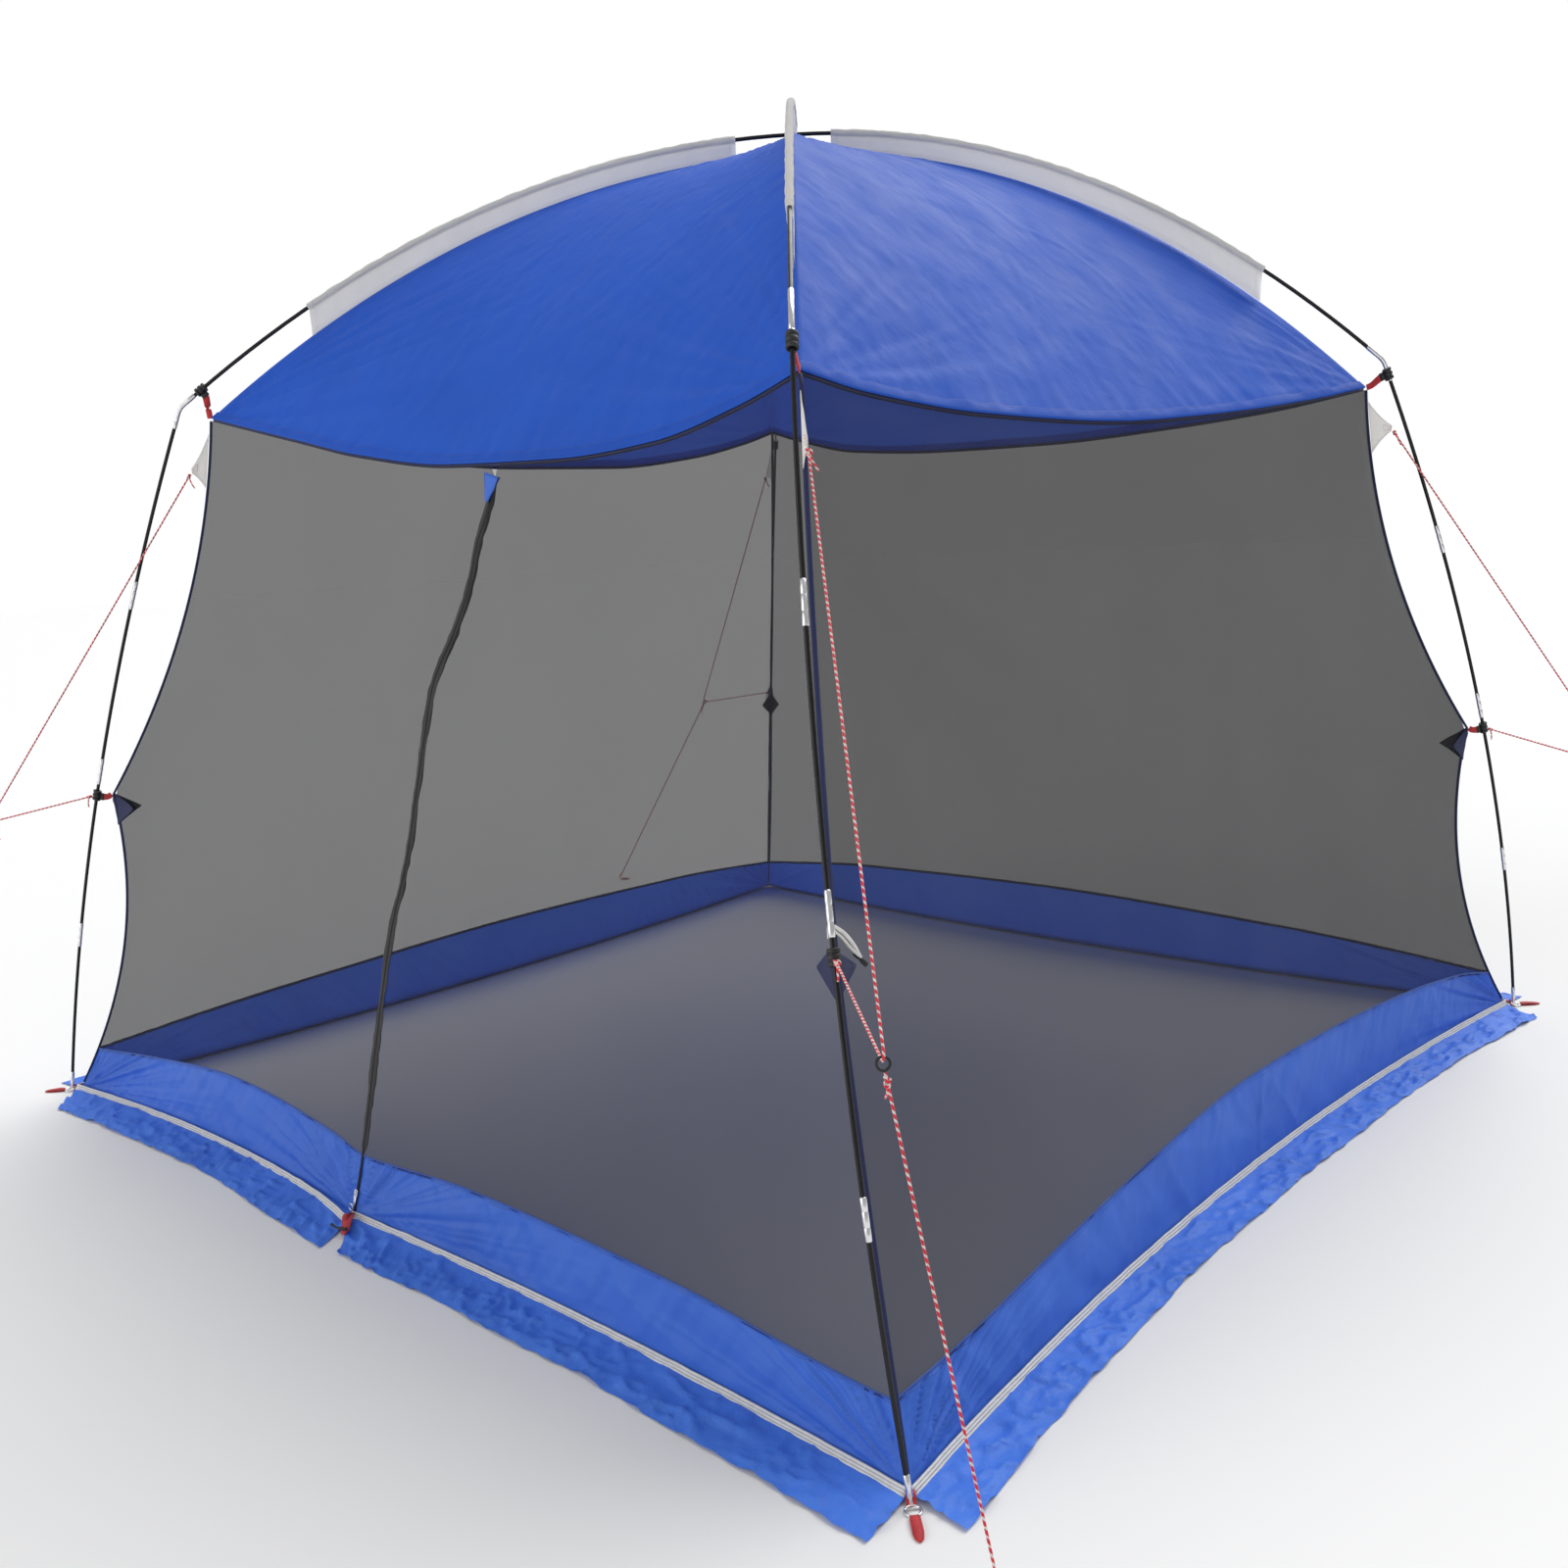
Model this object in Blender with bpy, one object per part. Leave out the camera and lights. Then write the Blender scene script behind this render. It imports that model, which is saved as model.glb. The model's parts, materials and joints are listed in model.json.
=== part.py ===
"""Screen-house tarp shelter, pitched.

Two long crossing poles carry a domed canopy with four mesh walls under it. One pole runs over the other at the apex.
Each leg is four rod sections with metal ferrules and a bent elbow at the eave. The front wall is a door: a zip down
its middle, and a triangular flap on each side of it that folds out along a crease from the zip's top to the corner.
Four guy lines pull on a ring, and a bridle through each ring runs from the canopy corner to the leg's middle.

Metres, +Z up, origin on the ground at the middle of the footprint. The door faces -Y.
"""

import math

import bmesh
import bpy
import numpy as np
from mathutils import Matrix, Vector

# Where the pitched frame stands. A fabric frame is never quite square, so each corner has its own points.
CORNERS = ("front_left", "front_right", "back_right", "back_left")
FOOT = {
    "front_left": (-1.535, -1.479),
    "front_right": (1.534, -1.464),
    "back_right": (1.507, 1.486),
    "back_left": (-1.495, 1.468),
}
KNEE = {
    "front_left": (-1.346, -1.288, 0.874),
    "front_right": (1.312, -1.346, 0.860),
    "back_right": (1.375, 1.303, 0.849),
    "back_left": (-1.290, 1.330, 0.861),
}
EAVE = {
    "front_left": (-1.065, -1.005, 1.778),
    "front_right": (1.012, -1.039, 1.736),
    "back_right": (1.145, 0.980, 1.734),
    "back_left": (-0.978, 1.090, 1.747),
}
CANOPY_CORNER = {
    "front_left": (-1.012, -0.953, 1.752),
    "front_right": (1.000, -1.012, 1.655),
    "back_right": (1.105, 0.982, 1.678),
    "back_left": (-0.962, 1.054, 1.740),
}
APEX = (0.074, 0.053, 2.286)
POLES = {"pole_a": ("front_left", "back_right"), "pole_b": ("front_right", "back_left")}
CROSSING_LIFT = 0.012

# Rods, ferrules and fittings.
ROD_RADIUS = 0.00425
FERRULE_RADIUS = 0.0055
FERRULE_LENGTH = 0.066
FERRULE_SHARES = (0.26, 0.51, 0.758)
TIP_HEIGHT = 0.059
ELBOW_REACH = 0.045
POLE_SIDES = 8
TOUCH_GAP = 0.0003
FOOT_CLEARANCE = 0.0075
RING_RADIUS, RING_WIRE = 0.017, 0.002
WEBBING_WIDTH, WEBBING_THICKNESS = 0.025, 0.002
CLIP_RADIUS, CLIP_HEIGHT, CLIP_CLEARANCE = 0.0105, 0.022, 0.0006
SIDE_CLIP_SHARE = 0.475
EAVE_CLIP_DROP = {"front_right": 0.046, "back_right": 0.030, "back_left": 0.046}
ROOF_CLIP_REACH = 0.064

# Fabric.
CLOTH = 0.002
CANOPY_TOP_DROP = 0.038
HEM_SAG = {"front": 0.125, "right": 0.078, "back": 0.090, "left": 0.115}
HEM_GAP = 0.006
SLEEVE_SPAN = {
    "front_left": (0.09, 0.771),
    "front_right": (0.0, 0.824),
    "back_right": (0.06, 0.785),
    "back_left": (0.0, 0.815),
}
SLEEVE_RADIUS, SLEEVE_BORE, SLEEVE_FIN, SLEEVE_LIFT = 0.0085, 0.0065, 0.0017, 0.0045
SIDES = {
    "front": ("front_left", "front_right"),
    "right": ("front_right", "back_right"),
    "back": ("back_right", "back_left"),
    "left": ("back_left", "front_left"),
}
SEAM_OFFSET = 0.004
SEAM_SAG_UPPER, SEAM_SAG_LOWER = 0.065, 0.078
PATCH_REACH = 0.048
HEM_INSET = 0.030
GROUND_BOW = {"front": 0.075, "right": 0.098, "back": 0.085, "left": 0.085}
HEM_HEIGHT, SKIRT_HEIGHT, SKIRT_WIDTH = 0.006, 0.002, 0.115
WALL_COLUMNS, WALL_ROWS = 10, 8
ZIP_TOP = (0.120, -0.985, 1.520)
ZIP_BOTTOM = (-0.090, -1.432, HEM_HEIGHT)
ZIP_GAP, CREASE_GAP = 0.003, 0.005
SLIDER_HEIGHT, SLIDER_SIZE = 0.055, (0.022, 0.012, 0.006)
PULLER_SIZE = (0.032, 0.008, 0.002)
TOGGLE_LENGTH, TOGGLE_RADIUS = 0.030, 0.004
TOGGLE_OFFSET = (0.0177, 0.0473, -0.0246)
TOGGLE_ALONG = (0.662, 0.2625, -0.688)
FLAP_TIP_CUT = 0.035
TAB_TIP = {
    "front_left": (-1.0512, -1.0103, 1.6334),
    "front_right": (1.0714, -1.0814, 1.5402),
    "back_right": (1.1702, 1.0076, 1.5811),
    "back_left": (-1.048, 1.107, 1.607),
}

# Guy lines.
ROPE_RADIUS, ROPE_GAP = 0.002, 0.0006
BRIDLE_BEND = 0.0085
TAB_BLUNT = 0.009
GUY_RING_RADIUS, GUY_RING_WIRE = 0.009, 0.002
GUY_RING = {
    "front_left": (-1.560, -1.502, 0.790),
    "front_right": (1.598, -1.585, 0.787),
    "back_right": (1.640, 1.618, 0.695),
    "back_left": (-1.760, 1.420, 0.765),
}
GUY_END = {
    "front_left": (-1.830, -1.800, 0.004),
    "front_right": (1.925, -1.730, 0.004),
    "back_right": (1.850, 1.820, 0.004),
    "back_left": (-2.170, 1.214, 0.004),
}

MATERIALS = {
    "rod": ((0.015, 0.015, 0.017), 0.35, 0.0),
    "metal": ((0.62, 0.62, 0.62), 0.30, 1.0),
    "canopy": ((0.05, 0.13, 0.52), 0.60, 0.0),
    "sleeve": ((0.76, 0.74, 0.71), 0.80, 0.0),
    "mesh": ((0.10, 0.10, 0.11), 0.90, 0.0),
    "clip": ((0.02, 0.02, 0.02), 0.50, 0.0),
    "rope": ((0.70, 0.08, 0.10), 0.75, 0.0),
}


# Shared helpers


def material(name):
    found = bpy.data.materials.get(name)
    if found:
        return found
    colour, roughness, metallic = MATERIALS[name]
    made = bpy.data.materials.new(name)
    made.use_nodes = True
    shader = made.node_tree.nodes["Principled BSDF"]
    shader.inputs["Base Color"].default_value = (*colour, 1.0)
    shader.inputs["Roughness"].default_value = roughness
    shader.inputs["Metallic"].default_value = metallic
    made.diffuse_color = (*colour, 1.0)
    return made


def mesh_object(name, shape, finish):
    """An object from a bmesh, with its faces pointing out."""
    bmesh.ops.recalc_face_normals(shape, faces=shape.faces)
    data = bpy.data.meshes.new(name)
    shape.to_mesh(data)
    shape.free()
    made = bpy.data.objects.new(name, data)
    made.data.materials.append(material(finish))
    bpy.context.scene.collection.objects.link(made)
    return made


def frames_along(points):
    """A point, and two directions across the path, at each point of a path, turning as little as possible."""
    tangents = []
    for i in range(len(points)):
        ahead, behind = points[min(i + 1, len(points) - 1)], points[max(i - 1, 0)]
        tangents.append((ahead - behind).normalized())
    across = tangents[0].orthogonal().normalized()
    frames = []
    for point, tangent in zip(points, tangents):
        across = (across - tangent * across.dot(tangent)).normalized()
        frames.append((point, across, tangent.cross(across)))
    return frames


def add_tube(shape, points, radii, sides=POLE_SIDES):
    """A closed tube along points, with its own radius at each."""
    rings = []
    for (point, across, over), radius in zip(frames_along(points), radii):
        turns = [2 * math.pi * k / sides for k in range(sides)]
        ring = [point + radius * (across * math.cos(t) + over * math.sin(t)) for t in turns]
        rings.append([shape.verts.new(place) for place in ring])
    for low, high in zip(rings, rings[1:]):
        for k in range(sides):
            shape.faces.new((low[k], low[(k + 1) % sides], high[(k + 1) % sides], high[k]))
    shape.faces.new(rings[0][::-1])
    shape.faces.new(rings[-1])


def add_box(shape, centre, along, across, size):
    """A box of size (length along, width across, height), its middle at centre."""
    x, y = along.normalized(), across.normalized()
    z = x.cross(y).normalized()
    turn = Matrix((x, y, z)).transposed().to_4x4()
    place = Matrix.Translation(centre) @ turn @ Matrix.Diagonal((*size, 1.0))
    bmesh.ops.create_cube(shape, size=1.0, matrix=place)


def add_hoop(shape, centre, axis, radius, wire, steps=14, sides=6):
    """A closed ring of round wire."""
    axis = axis.normalized()
    first = axis.orthogonal().normalized()
    second = axis.cross(first)
    rings = []
    for k in range(steps):
        turn = 2 * math.pi * k / steps
        out = first * math.cos(turn) + second * math.sin(turn)
        middle = centre + out * radius
        places = [2 * math.pi * j / sides for j in range(sides)]
        rings.append([shape.verts.new(middle + wire * (out * math.cos(p) + axis * math.sin(p))) for p in places])
    for k in range(steps):
        low, high = rings[k], rings[(k + 1) % steps]
        for j in range(sides):
            shape.faces.new((low[j], low[(j + 1) % sides], high[(j + 1) % sides], high[j]))


def fused(name, builders, finish):
    """One closed object from several overlapping solids, each made by its own builder."""
    parts = []
    for k, build in enumerate(builders):
        shape = bmesh.new()
        build(shape)
        parts.append(mesh_object(f"{name}_{k}", shape, finish))
    body = parts[0]
    for other in parts[1:]:
        union = body.modifiers.new("join", "BOOLEAN")
        union.operation = "UNION"
        union.solver = "EXACT"
        union.object = other
    graph = bpy.context.evaluated_depsgraph_get()
    data = bpy.data.meshes.new_from_object(body.evaluated_get(graph))
    for part in parts:
        bpy.data.objects.remove(part)
    made = bpy.data.objects.new(name, data)
    bpy.context.scene.collection.objects.link(made)
    return made


def relaxed(grid, rounds=400):
    """The grid with its edge held and its inside pulled level, as a taut cloth lies."""
    grid = np.array(grid, float)
    for _ in range(rounds):
        around = grid[:-2, 1:-1] + grid[2:, 1:-1] + grid[1:-1, :-2] + grid[1:-1, 2:]
        grid[1:-1, 1:-1] = around / 4
    return grid


def cloth_object(name, grids, finish):
    """A closed cloth of even thickness over one or more grids of points, welded where they meet."""
    shape = bmesh.new()
    for grid in grids:
        verts = [[shape.verts.new(point) for point in row] for row in grid]
        for low, high in zip(verts, verts[1:]):
            for k in range(len(low) - 1):
                shape.faces.new((low[k], low[k + 1], high[k + 1], high[k]))
    bmesh.ops.remove_doubles(shape, verts=shape.verts, dist=0.0002)
    bmesh.ops.dissolve_degenerate(shape, edges=shape.edges, dist=0.0002)
    made = mesh_object(name, shape, finish)
    thick = made.modifiers.new("cloth", "SOLIDIFY")
    thick.thickness = CLOTH
    thick.offset = 0.0
    thick.use_even_offset = True
    return made


def vector(point):
    return Vector(point)


def inward(corner):
    """The level direction from a corner's foot to the middle of the footprint."""
    x, y = FOOT[corner]
    return Vector((-x, -y, 0.0)).normalized()


# Curves of the frame and the fabric


def leg_point(corner, height):
    """A point on the leg's bowed centre line, which passes through the foot, the knee and the eave."""
    foot, knee, eave = (*FOOT[corner], 0.0), KNEE[corner], EAVE[corner]
    a, b, c = foot[2], knee[2], eave[2]
    shares = (
        (height - b) * (height - c) / ((a - b) * (a - c)),
        (height - a) * (height - c) / ((b - a) * (b - c)),
        (height - a) * (height - b) / ((c - a) * (c - b)),
    )
    x, y = (sum(s * p[k] for s, p in zip(shares, (foot, knee, eave))) for k in (0, 1))
    return Vector((x, y, height))


def roof_point(corner, share):
    """A point on the pole's roof arc, from the apex (0) to the eave (1)."""
    lift = CROSSING_LIFT if corner in POLES["pole_b"] else 0.0
    apex, eave = Vector(APEX) + Vector((0, 0, lift)), Vector(EAVE[corner])
    point = apex.lerp(eave, share)
    point.z = apex.z - (apex.z - eave.z) * share**2
    return point


def ridge_point(corner, share):
    """A point on the canopy's ridge, from the middle (0) to the canopy's corner (1)."""
    top, end = Vector(APEX) - Vector((0, 0, CANOPY_TOP_DROP)), Vector(CANOPY_CORNER[corner])
    point = top.lerp(end, share)
    point.z = top.z - (top.z - end.z) * share**2
    return point


def hem_point(side, share):
    """A point on the canopy's hem, sagging between its two corners."""
    start, end = (Vector(CANOPY_CORNER[c]) for c in SIDES[side])
    point = start.lerp(end, share)
    point.z -= HEM_SAG[side] * 4 * share * (1 - share)
    return point


def patch_point(corner):
    return leg_point(corner, SIDE_CLIP_SHARE * EAVE[corner][2]) + inward(corner) * PATCH_REACH


def seam_foot(corner):
    return Vector((*FOOT[corner], HEM_HEIGHT)) + inward(corner) * HEM_INSET


def seam_point(corner, share):
    """A point on the walls' corner seam, from the ground (0) by the patch at mid height (0.5) to the canopy (1)."""
    foot, patch = seam_foot(corner), patch_point(corner)
    top = Vector(CANOPY_CORNER[corner]) - Vector((0, 0, HEM_GAP))
    if share <= 0.5:
        start, end, part, sag = foot, patch, share * 2, SEAM_SAG_LOWER
    else:
        start, end, part, sag = patch, top, share * 2 - 1, SEAM_SAG_UPPER
    return start.lerp(end, part) + inward(corner) * sag * 4 * part * (1 - part)


def ground_point(side, share):
    """A point on the wall's ground line, which bows in between the two feet."""
    first, last = (seam_foot(c) for c in SIDES[side])
    return first.lerp(last, share) - outward(side) * GROUND_BOW[side] * 4 * share * (1 - share)


def outward(side):
    first, last = (Vector((*FOOT[c], 0.0)) for c in SIDES[side])
    along = (last - first).normalized()
    return Vector((along.y, -along.x, 0.0))


def along_side(side):
    first, last = (Vector((*FOOT[c], 0.0)) for c in SIDES[side])
    return (last - first).normalized()


# The poles


def leg_section(name, corner, low, high, collar_low, collar_high):
    """A rod between two heights, with its metal collar at the bottom: the tip, or the ferrule the next rod sits in."""
    heights = [low, collar_low, collar_high]
    radii = [FERRULE_RADIUS, FERRULE_RADIUS, FERRULE_RADIUS]
    if collar_high <= collar_low:
        heights, radii = [low], [ROD_RADIUS]
    steps = 4
    points = [leg_point(corner, h) for h in heights]
    if len(heights) > 1:
        points.append(leg_point(corner, collar_high + 0.001))
        radii.append(ROD_RADIUS)
        low = collar_high + 0.001
    for k in range(1, steps + 1):
        points.append(leg_point(corner, low + (high - low) * k / steps))
        radii.append(ROD_RADIUS)
    shape = bmesh.new()
    add_tube(shape, points, radii)
    return mesh_object(name, shape, "rod")


def make_leg(corner):
    eave = EAVE[corner][2]
    ferrules = [share * eave for share in FERRULE_SHARES]
    half = FERRULE_LENGTH / 2
    starts = [FOOT_CLEARANCE] + [f - half for f in ferrules]
    ends = [f - half - TOUCH_GAP for f in ferrules] + [eave - ELBOW_REACH]
    collars = [TIP_HEIGHT] + [f + half for f in ferrules]
    names = ("lower_rod", "lower_middle_rod", "upper_middle_rod")
    for name, start, end, collar in zip(names, starts, ends, collars):
        leg_section(f"{corner}_{name}", corner, start, end, start + 0.002, collar)
    make_top_rod(corner, starts[3], collars[3], ends[3])


def make_top_rod(corner, start, collar, end):
    """The leg's top section: its ferrule and rod, and the bent metal elbow that takes the roof arc's end."""
    steps = 4
    heights = [start, start + 0.002, collar]
    points = [leg_point(corner, h) for h in heights]
    radii = [FERRULE_RADIUS] * 3
    rod = [collar + 0.001 + (end - collar - 0.001) * k / steps for k in range(steps + 1)]
    points += [leg_point(corner, h) for h in rod]
    radii += [ROD_RADIUS] * len(rod)
    reach = elbow_share(corner)
    elbow = [leg_point(corner, end + 0.001), leg_point(corner, EAVE[corner][2] - 0.014)]
    elbow += [roof_point(corner, 1 - reach * 0.25), roof_point(corner, 1 - reach)]
    points += elbow
    radii += [FERRULE_RADIUS] * len(elbow)
    shape = bmesh.new()
    add_tube(shape, points, radii)
    mesh_object(f"{corner}_top_rod_and_elbow", shape, "rod")


def elbow_share(corner):
    """How much of the roof arc the elbow takes up."""
    return ELBOW_REACH / (Vector(EAVE[corner]) - Vector(APEX)).length


def make_roof_arc(name, first, last):
    steps = 9
    shares = [(1 - elbow_share(first)) - 0.0004]
    points = [roof_point(first, shares[0] * (1 - k / steps)) for k in range(steps)]
    points.append(roof_point(first, 0.0))
    end = (1 - elbow_share(last)) - 0.0004
    points += [roof_point(last, end * k / steps) for k in range(1, steps + 1)]
    shape = bmesh.new()
    add_tube(shape, points, [ROD_RADIUS] * len(points))
    return mesh_object(name, shape, "rod")


# Fittings on the legs


def make_foot_ring(corner):
    """A wire ring flat on the ground, a bar across it that the pole's tip stands on, and its webbing peg loop."""
    foot, out = Vector((*FOOT[corner], 0.0)), -inward(corner)
    centre = foot + Vector((0, 0, RING_WIRE + 0.0004)) + out * 0.006
    bar = foot + Vector((0, 0, 0.0032))
    strap = foot + out * (RING_RADIUS + 0.032) + Vector((0, 0, 0.0015))
    across = Vector((-out.y, out.x, 0.0))
    builders = [
        lambda shape: add_hoop(shape, centre, Vector((0, 0, 1)), RING_RADIUS, RING_WIRE),
        lambda shape: add_box(shape, bar, across, -out, (2 * RING_RADIUS, 0.007, 0.0036)),
        lambda shape: add_box(shape, strap, out, across, (0.062, WEBBING_WIDTH, 0.003)),
    ]
    return fused(f"{corner}_foot_ring", builders, "metal")


def make_clip(name, low, high, target):
    """A plastic clip round the pole from low to high, and the webbing strap from it to the fabric at target."""
    middle, axis = (low + high) / 2, (high - low).normalized()
    towards = target - middle
    level = (towards - axis * towards.dot(axis)).normalized()
    start = middle + level * (CLIP_RADIUS - 0.002)
    length = (target - start).length - 0.0025
    strap = start + (target - start).normalized() * (length / 2)
    bore = FERRULE_RADIUS + CLIP_CLEARANCE

    def collar(shape):
        add_sleeve_ring(shape, low, high, CLIP_RADIUS, bore)

    def webbing(shape):
        along = (target - start).normalized()
        add_box(shape, strap, along, axis, (length, CLIP_HEIGHT * 0.8, WEBBING_THICKNESS))

    return fused(name, [collar, webbing], "clip")


def add_sleeve_ring(shape, low, high, radius, bore, sides=12):
    """A short open tube."""
    loops = []
    for (point, across, over), size in ((f, r) for f in frames_along([low, high]) for r in (radius, bore)):
        turns = [2 * math.pi * k / sides for k in range(sides)]
        loops.append([shape.verts.new(point + size * (across * math.cos(t) + over * math.sin(t))) for t in turns])
    bottom_out, bottom_in, top_out, top_in = loops
    for first, second in ((bottom_out, top_out), (top_out, top_in), (top_in, bottom_in), (bottom_in, bottom_out)):
        for k in range(sides):
            shape.faces.new((first[k], first[(k + 1) % sides], second[(k + 1) % sides], second[k]))


def on_leg(corner, height):
    """The ends of a clip on the leg, centred at this height."""
    return leg_point(corner, height - CLIP_HEIGHT / 2), leg_point(corner, height + CLIP_HEIGHT / 2)


def on_roof(corner, reach):
    """The ends of a clip on the roof pole, centred this far from the eave."""
    length = (Vector(EAVE[corner]) - Vector(APEX)).length
    return [roof_point(corner, 1 - (reach + side * CLIP_HEIGHT / 2) / length) for side in (-1, 1)]


def make_clips(corner):
    """The front-left eave clip has slid round the elbow onto the roof pole. The others are just below theirs."""
    eave = EAVE[corner][2]
    across = -inward(corner)
    top = Vector(CANOPY_CORNER[corner]) + across * 0.004
    drop = EAVE_CLIP_DROP.get(corner)
    place = on_leg(corner, eave - drop) if drop else on_roof(corner, ROOF_CLIP_REACH)
    make_clip(f"{corner}_eave_clip", *place, top)
    side = on_leg(corner, SIDE_CLIP_SHARE * eave)
    make_clip(f"{corner}_side_clip", *side, patch_point(corner) + across * 0.004)


# The canopy and its sleeves


def canopy_grid(side):
    """One roof panel, from the middle of the roof to the hem, between its two ridges."""
    first, last = SIDES[side]
    rows, columns = 9, 8
    grid = []
    for i in range(rows + 1):
        share = i / rows
        start, end = ridge_point(first, share), ridge_point(last, share)
        row = [start.lerp(end, k / columns) for k in range(columns + 1)]
        for k in range(1, columns):
            lateral = k / columns
            row[k].z -= HEM_SAG[side] * share**2 * 4 * lateral * (1 - lateral)
        grid.append([tuple(point) for point in row])
    return relaxed(grid, rounds=60)


def make_canopy():
    return cloth_object("canopy", [canopy_grid(side) for side in SIDES], "canopy")


def sleeve_loop(corner, share):
    """The outer and inner outline of a sleeve at one share of the roof arc: a round hem on a thin upright fin."""
    pole = roof_point(corner, share)
    along = (roof_point(corner, share + 0.01) - roof_point(corner, share)).normalized()
    across = along.cross(Vector((0, 0, 1))).normalized()
    if corner == "back_left":
        across = -across
    up = across.cross(along) if across.cross(along).z > 0 else along.cross(across)
    reach = (pole.xy - Vector(APEX).xy).length / (Vector(CANOPY_CORNER[corner]).xy - Vector(APEX).xy).length
    fin = pole.z - ridge_point(corner, reach).z - SLEEVE_LIFT
    outer, inner = [], []
    for degrees in (-60, -15, 30, 70, 110, 150, 195, 240):
        turn = math.radians(degrees)
        direction = across * math.cos(turn) + up * math.sin(turn)
        outer.append(pole + direction * SLEEVE_RADIUS)
        inner.append(pole + direction * SLEEVE_BORE)
    for side in (-1, 1):
        outer.append(pole + across * side * SLEEVE_FIN - Vector((0, 0, fin)))
        inner.append(pole + (across * side * 0.3 - up).normalized() * SLEEVE_BORE)
    return outer, inner


def make_sleeve(name, loops, tunnel=None):
    shape = bmesh.new()
    rings = [[[shape.verts.new(point) for point in loop] for loop in pair] for pair in loops]
    count = len(rings[0][0])
    for low, high in zip(rings, rings[1:]):
        for a, b in zip(low, high):
            for k in range(count):
                shape.faces.new((a[k], a[(k + 1) % count], b[(k + 1) % count], b[k]))
    for outer, inner in (rings[0], rings[-1]):
        for k in range(count):
            shape.faces.new((outer[k], outer[(k + 1) % count], inner[(k + 1) % count], inner[k]))
    made = mesh_object(name, shape, "sleeve")
    if tunnel:
        shape = bmesh.new()
        add_tube(shape, tunnel, [SLEEVE_BORE] * len(tunnel))
        cutter = mesh_object(name + "_cutter", shape, "sleeve")
        cutter.hide_render = True
        cutter.display_type = "WIRE"
        cut = made.modifiers.new("tunnel", "BOOLEAN")
        cut.operation = "DIFFERENCE"
        cut.solver = "EXACT"
        cut.object = cutter
    return made


def make_sleeves():
    """A sleeve for each half of the lower pole, and one for the whole of the pole that runs over it."""
    steps = 7
    for corner in POLES["pole_a"]:
        inner, outer = SLEEVE_SPAN[corner]
        shares = [inner + (outer - inner) * k / steps for k in range(steps + 1)]
        make_sleeve(f"{corner}_pole_sleeve", [sleeve_loop(corner, share) for share in shares])
    first, last = POLES["pole_b"]
    ends = SLEEVE_SPAN[first][1], SLEEVE_SPAN[last][1]
    loops = [sleeve_loop(first, ends[0] * (1 - k / steps)) for k in range(steps)]
    loops += [sleeve_loop(last, ends[1] * k / steps) for k in range(steps + 1)]
    tunnel = [roof_point(POLES["pole_a"][0], 0.03), Vector(APEX), roof_point(POLES["pole_a"][1], 0.03)]
    make_sleeve("pole_b_sleeve", loops, tunnel)


# The walls


def skirt_row(side, row, width=SKIRT_WIDTH):
    return [(p[0] + outward(side).x * width, p[1] + outward(side).y * width, SKIRT_HEIGHT) for p in row]


def wall_grid(side):
    """One plain wall from its skirt on the ground up to the hem, between its two corner seams."""
    first, last = SIDES[side]
    along = along_side(side)
    grid = []
    for i in range(WALL_ROWS + 1):
        share = i / WALL_ROWS
        start = seam_point(first, share) + along * SEAM_OFFSET
        end = seam_point(last, share) - along * SEAM_OFFSET
        row = []
        for k in range(WALL_COLUMNS + 1):
            part = k / WALL_COLUMNS
            low, high = ground_point(side, part), hem_point(side, part)
            high.z -= HEM_GAP
            corners = (seam_point(first, 0).lerp(seam_point(last, 0), part), hem_chord(side, part))
            edge = start.lerp(end, part)
            bulge = (low - corners[0]) * (1 - share) + (high - corners[1]) * share
            row.append(tuple(edge + bulge))
        grid.append(row)
    grid = relaxed(grid)
    return np.concatenate([[skirt_row(side, grid[0])], grid])


def hem_chord(side, part):
    start, end = (seam_point(c, 1) for c in SIDES[side])
    return start.lerp(end, part)


def make_plain_walls():
    for side in ("right", "back", "left"):
        cloth_object(f"{side}_wall", [wall_grid(side)], "mesh")


def door_ends(hand):
    """For the left or right half of the door: its corner, the zip's top and bottom, and the way from zip to corner."""
    corner = "front_left" if hand == "left" else "front_right"
    way = -along_side("front") if hand == "left" else along_side("front")
    top = Vector(ZIP_TOP) + way * ZIP_GAP - Vector((0, 0, HEM_GAP))
    bottom = Vector(ZIP_BOTTOM) + way * ZIP_GAP
    return corner, top, bottom, way


def crease_end(corner, way):
    return seam_foot(corner) - way * (SEAM_OFFSET + 0.012)


def door_ground(hand, share):
    """A point on the door's ground line, from the zip (0) to the corner (1)."""
    corner, _, bottom, way = door_ends(hand)
    end = crease_end(corner, way)
    inset = -outward("front") * 0.03 * 4 * share * (1 - share)
    return bottom.lerp(end, share) + inset


def make_flap(hand):
    """The door's lower triangle, which folds out: a cone of cloth from the zip's top down to the ground line."""
    _, top, _, _ = door_ends(hand)
    rows, columns = 7, 8
    grid = []
    for i in range(rows + 1):
        share = FLAP_TIP_CUT + (1 - FLAP_TIP_CUT) * i / rows
        grid.append([tuple(top.lerp(door_ground(hand, k / columns), share)) for k in range(columns + 1)])
    hem = grid[-1]
    skirt = skirt_row("front", hem[:-1]) + [hem[-1]]
    return cloth_object(f"door_flap_{hand}", [np.array(grid), np.array([hem, skirt])], "mesh")


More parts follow.
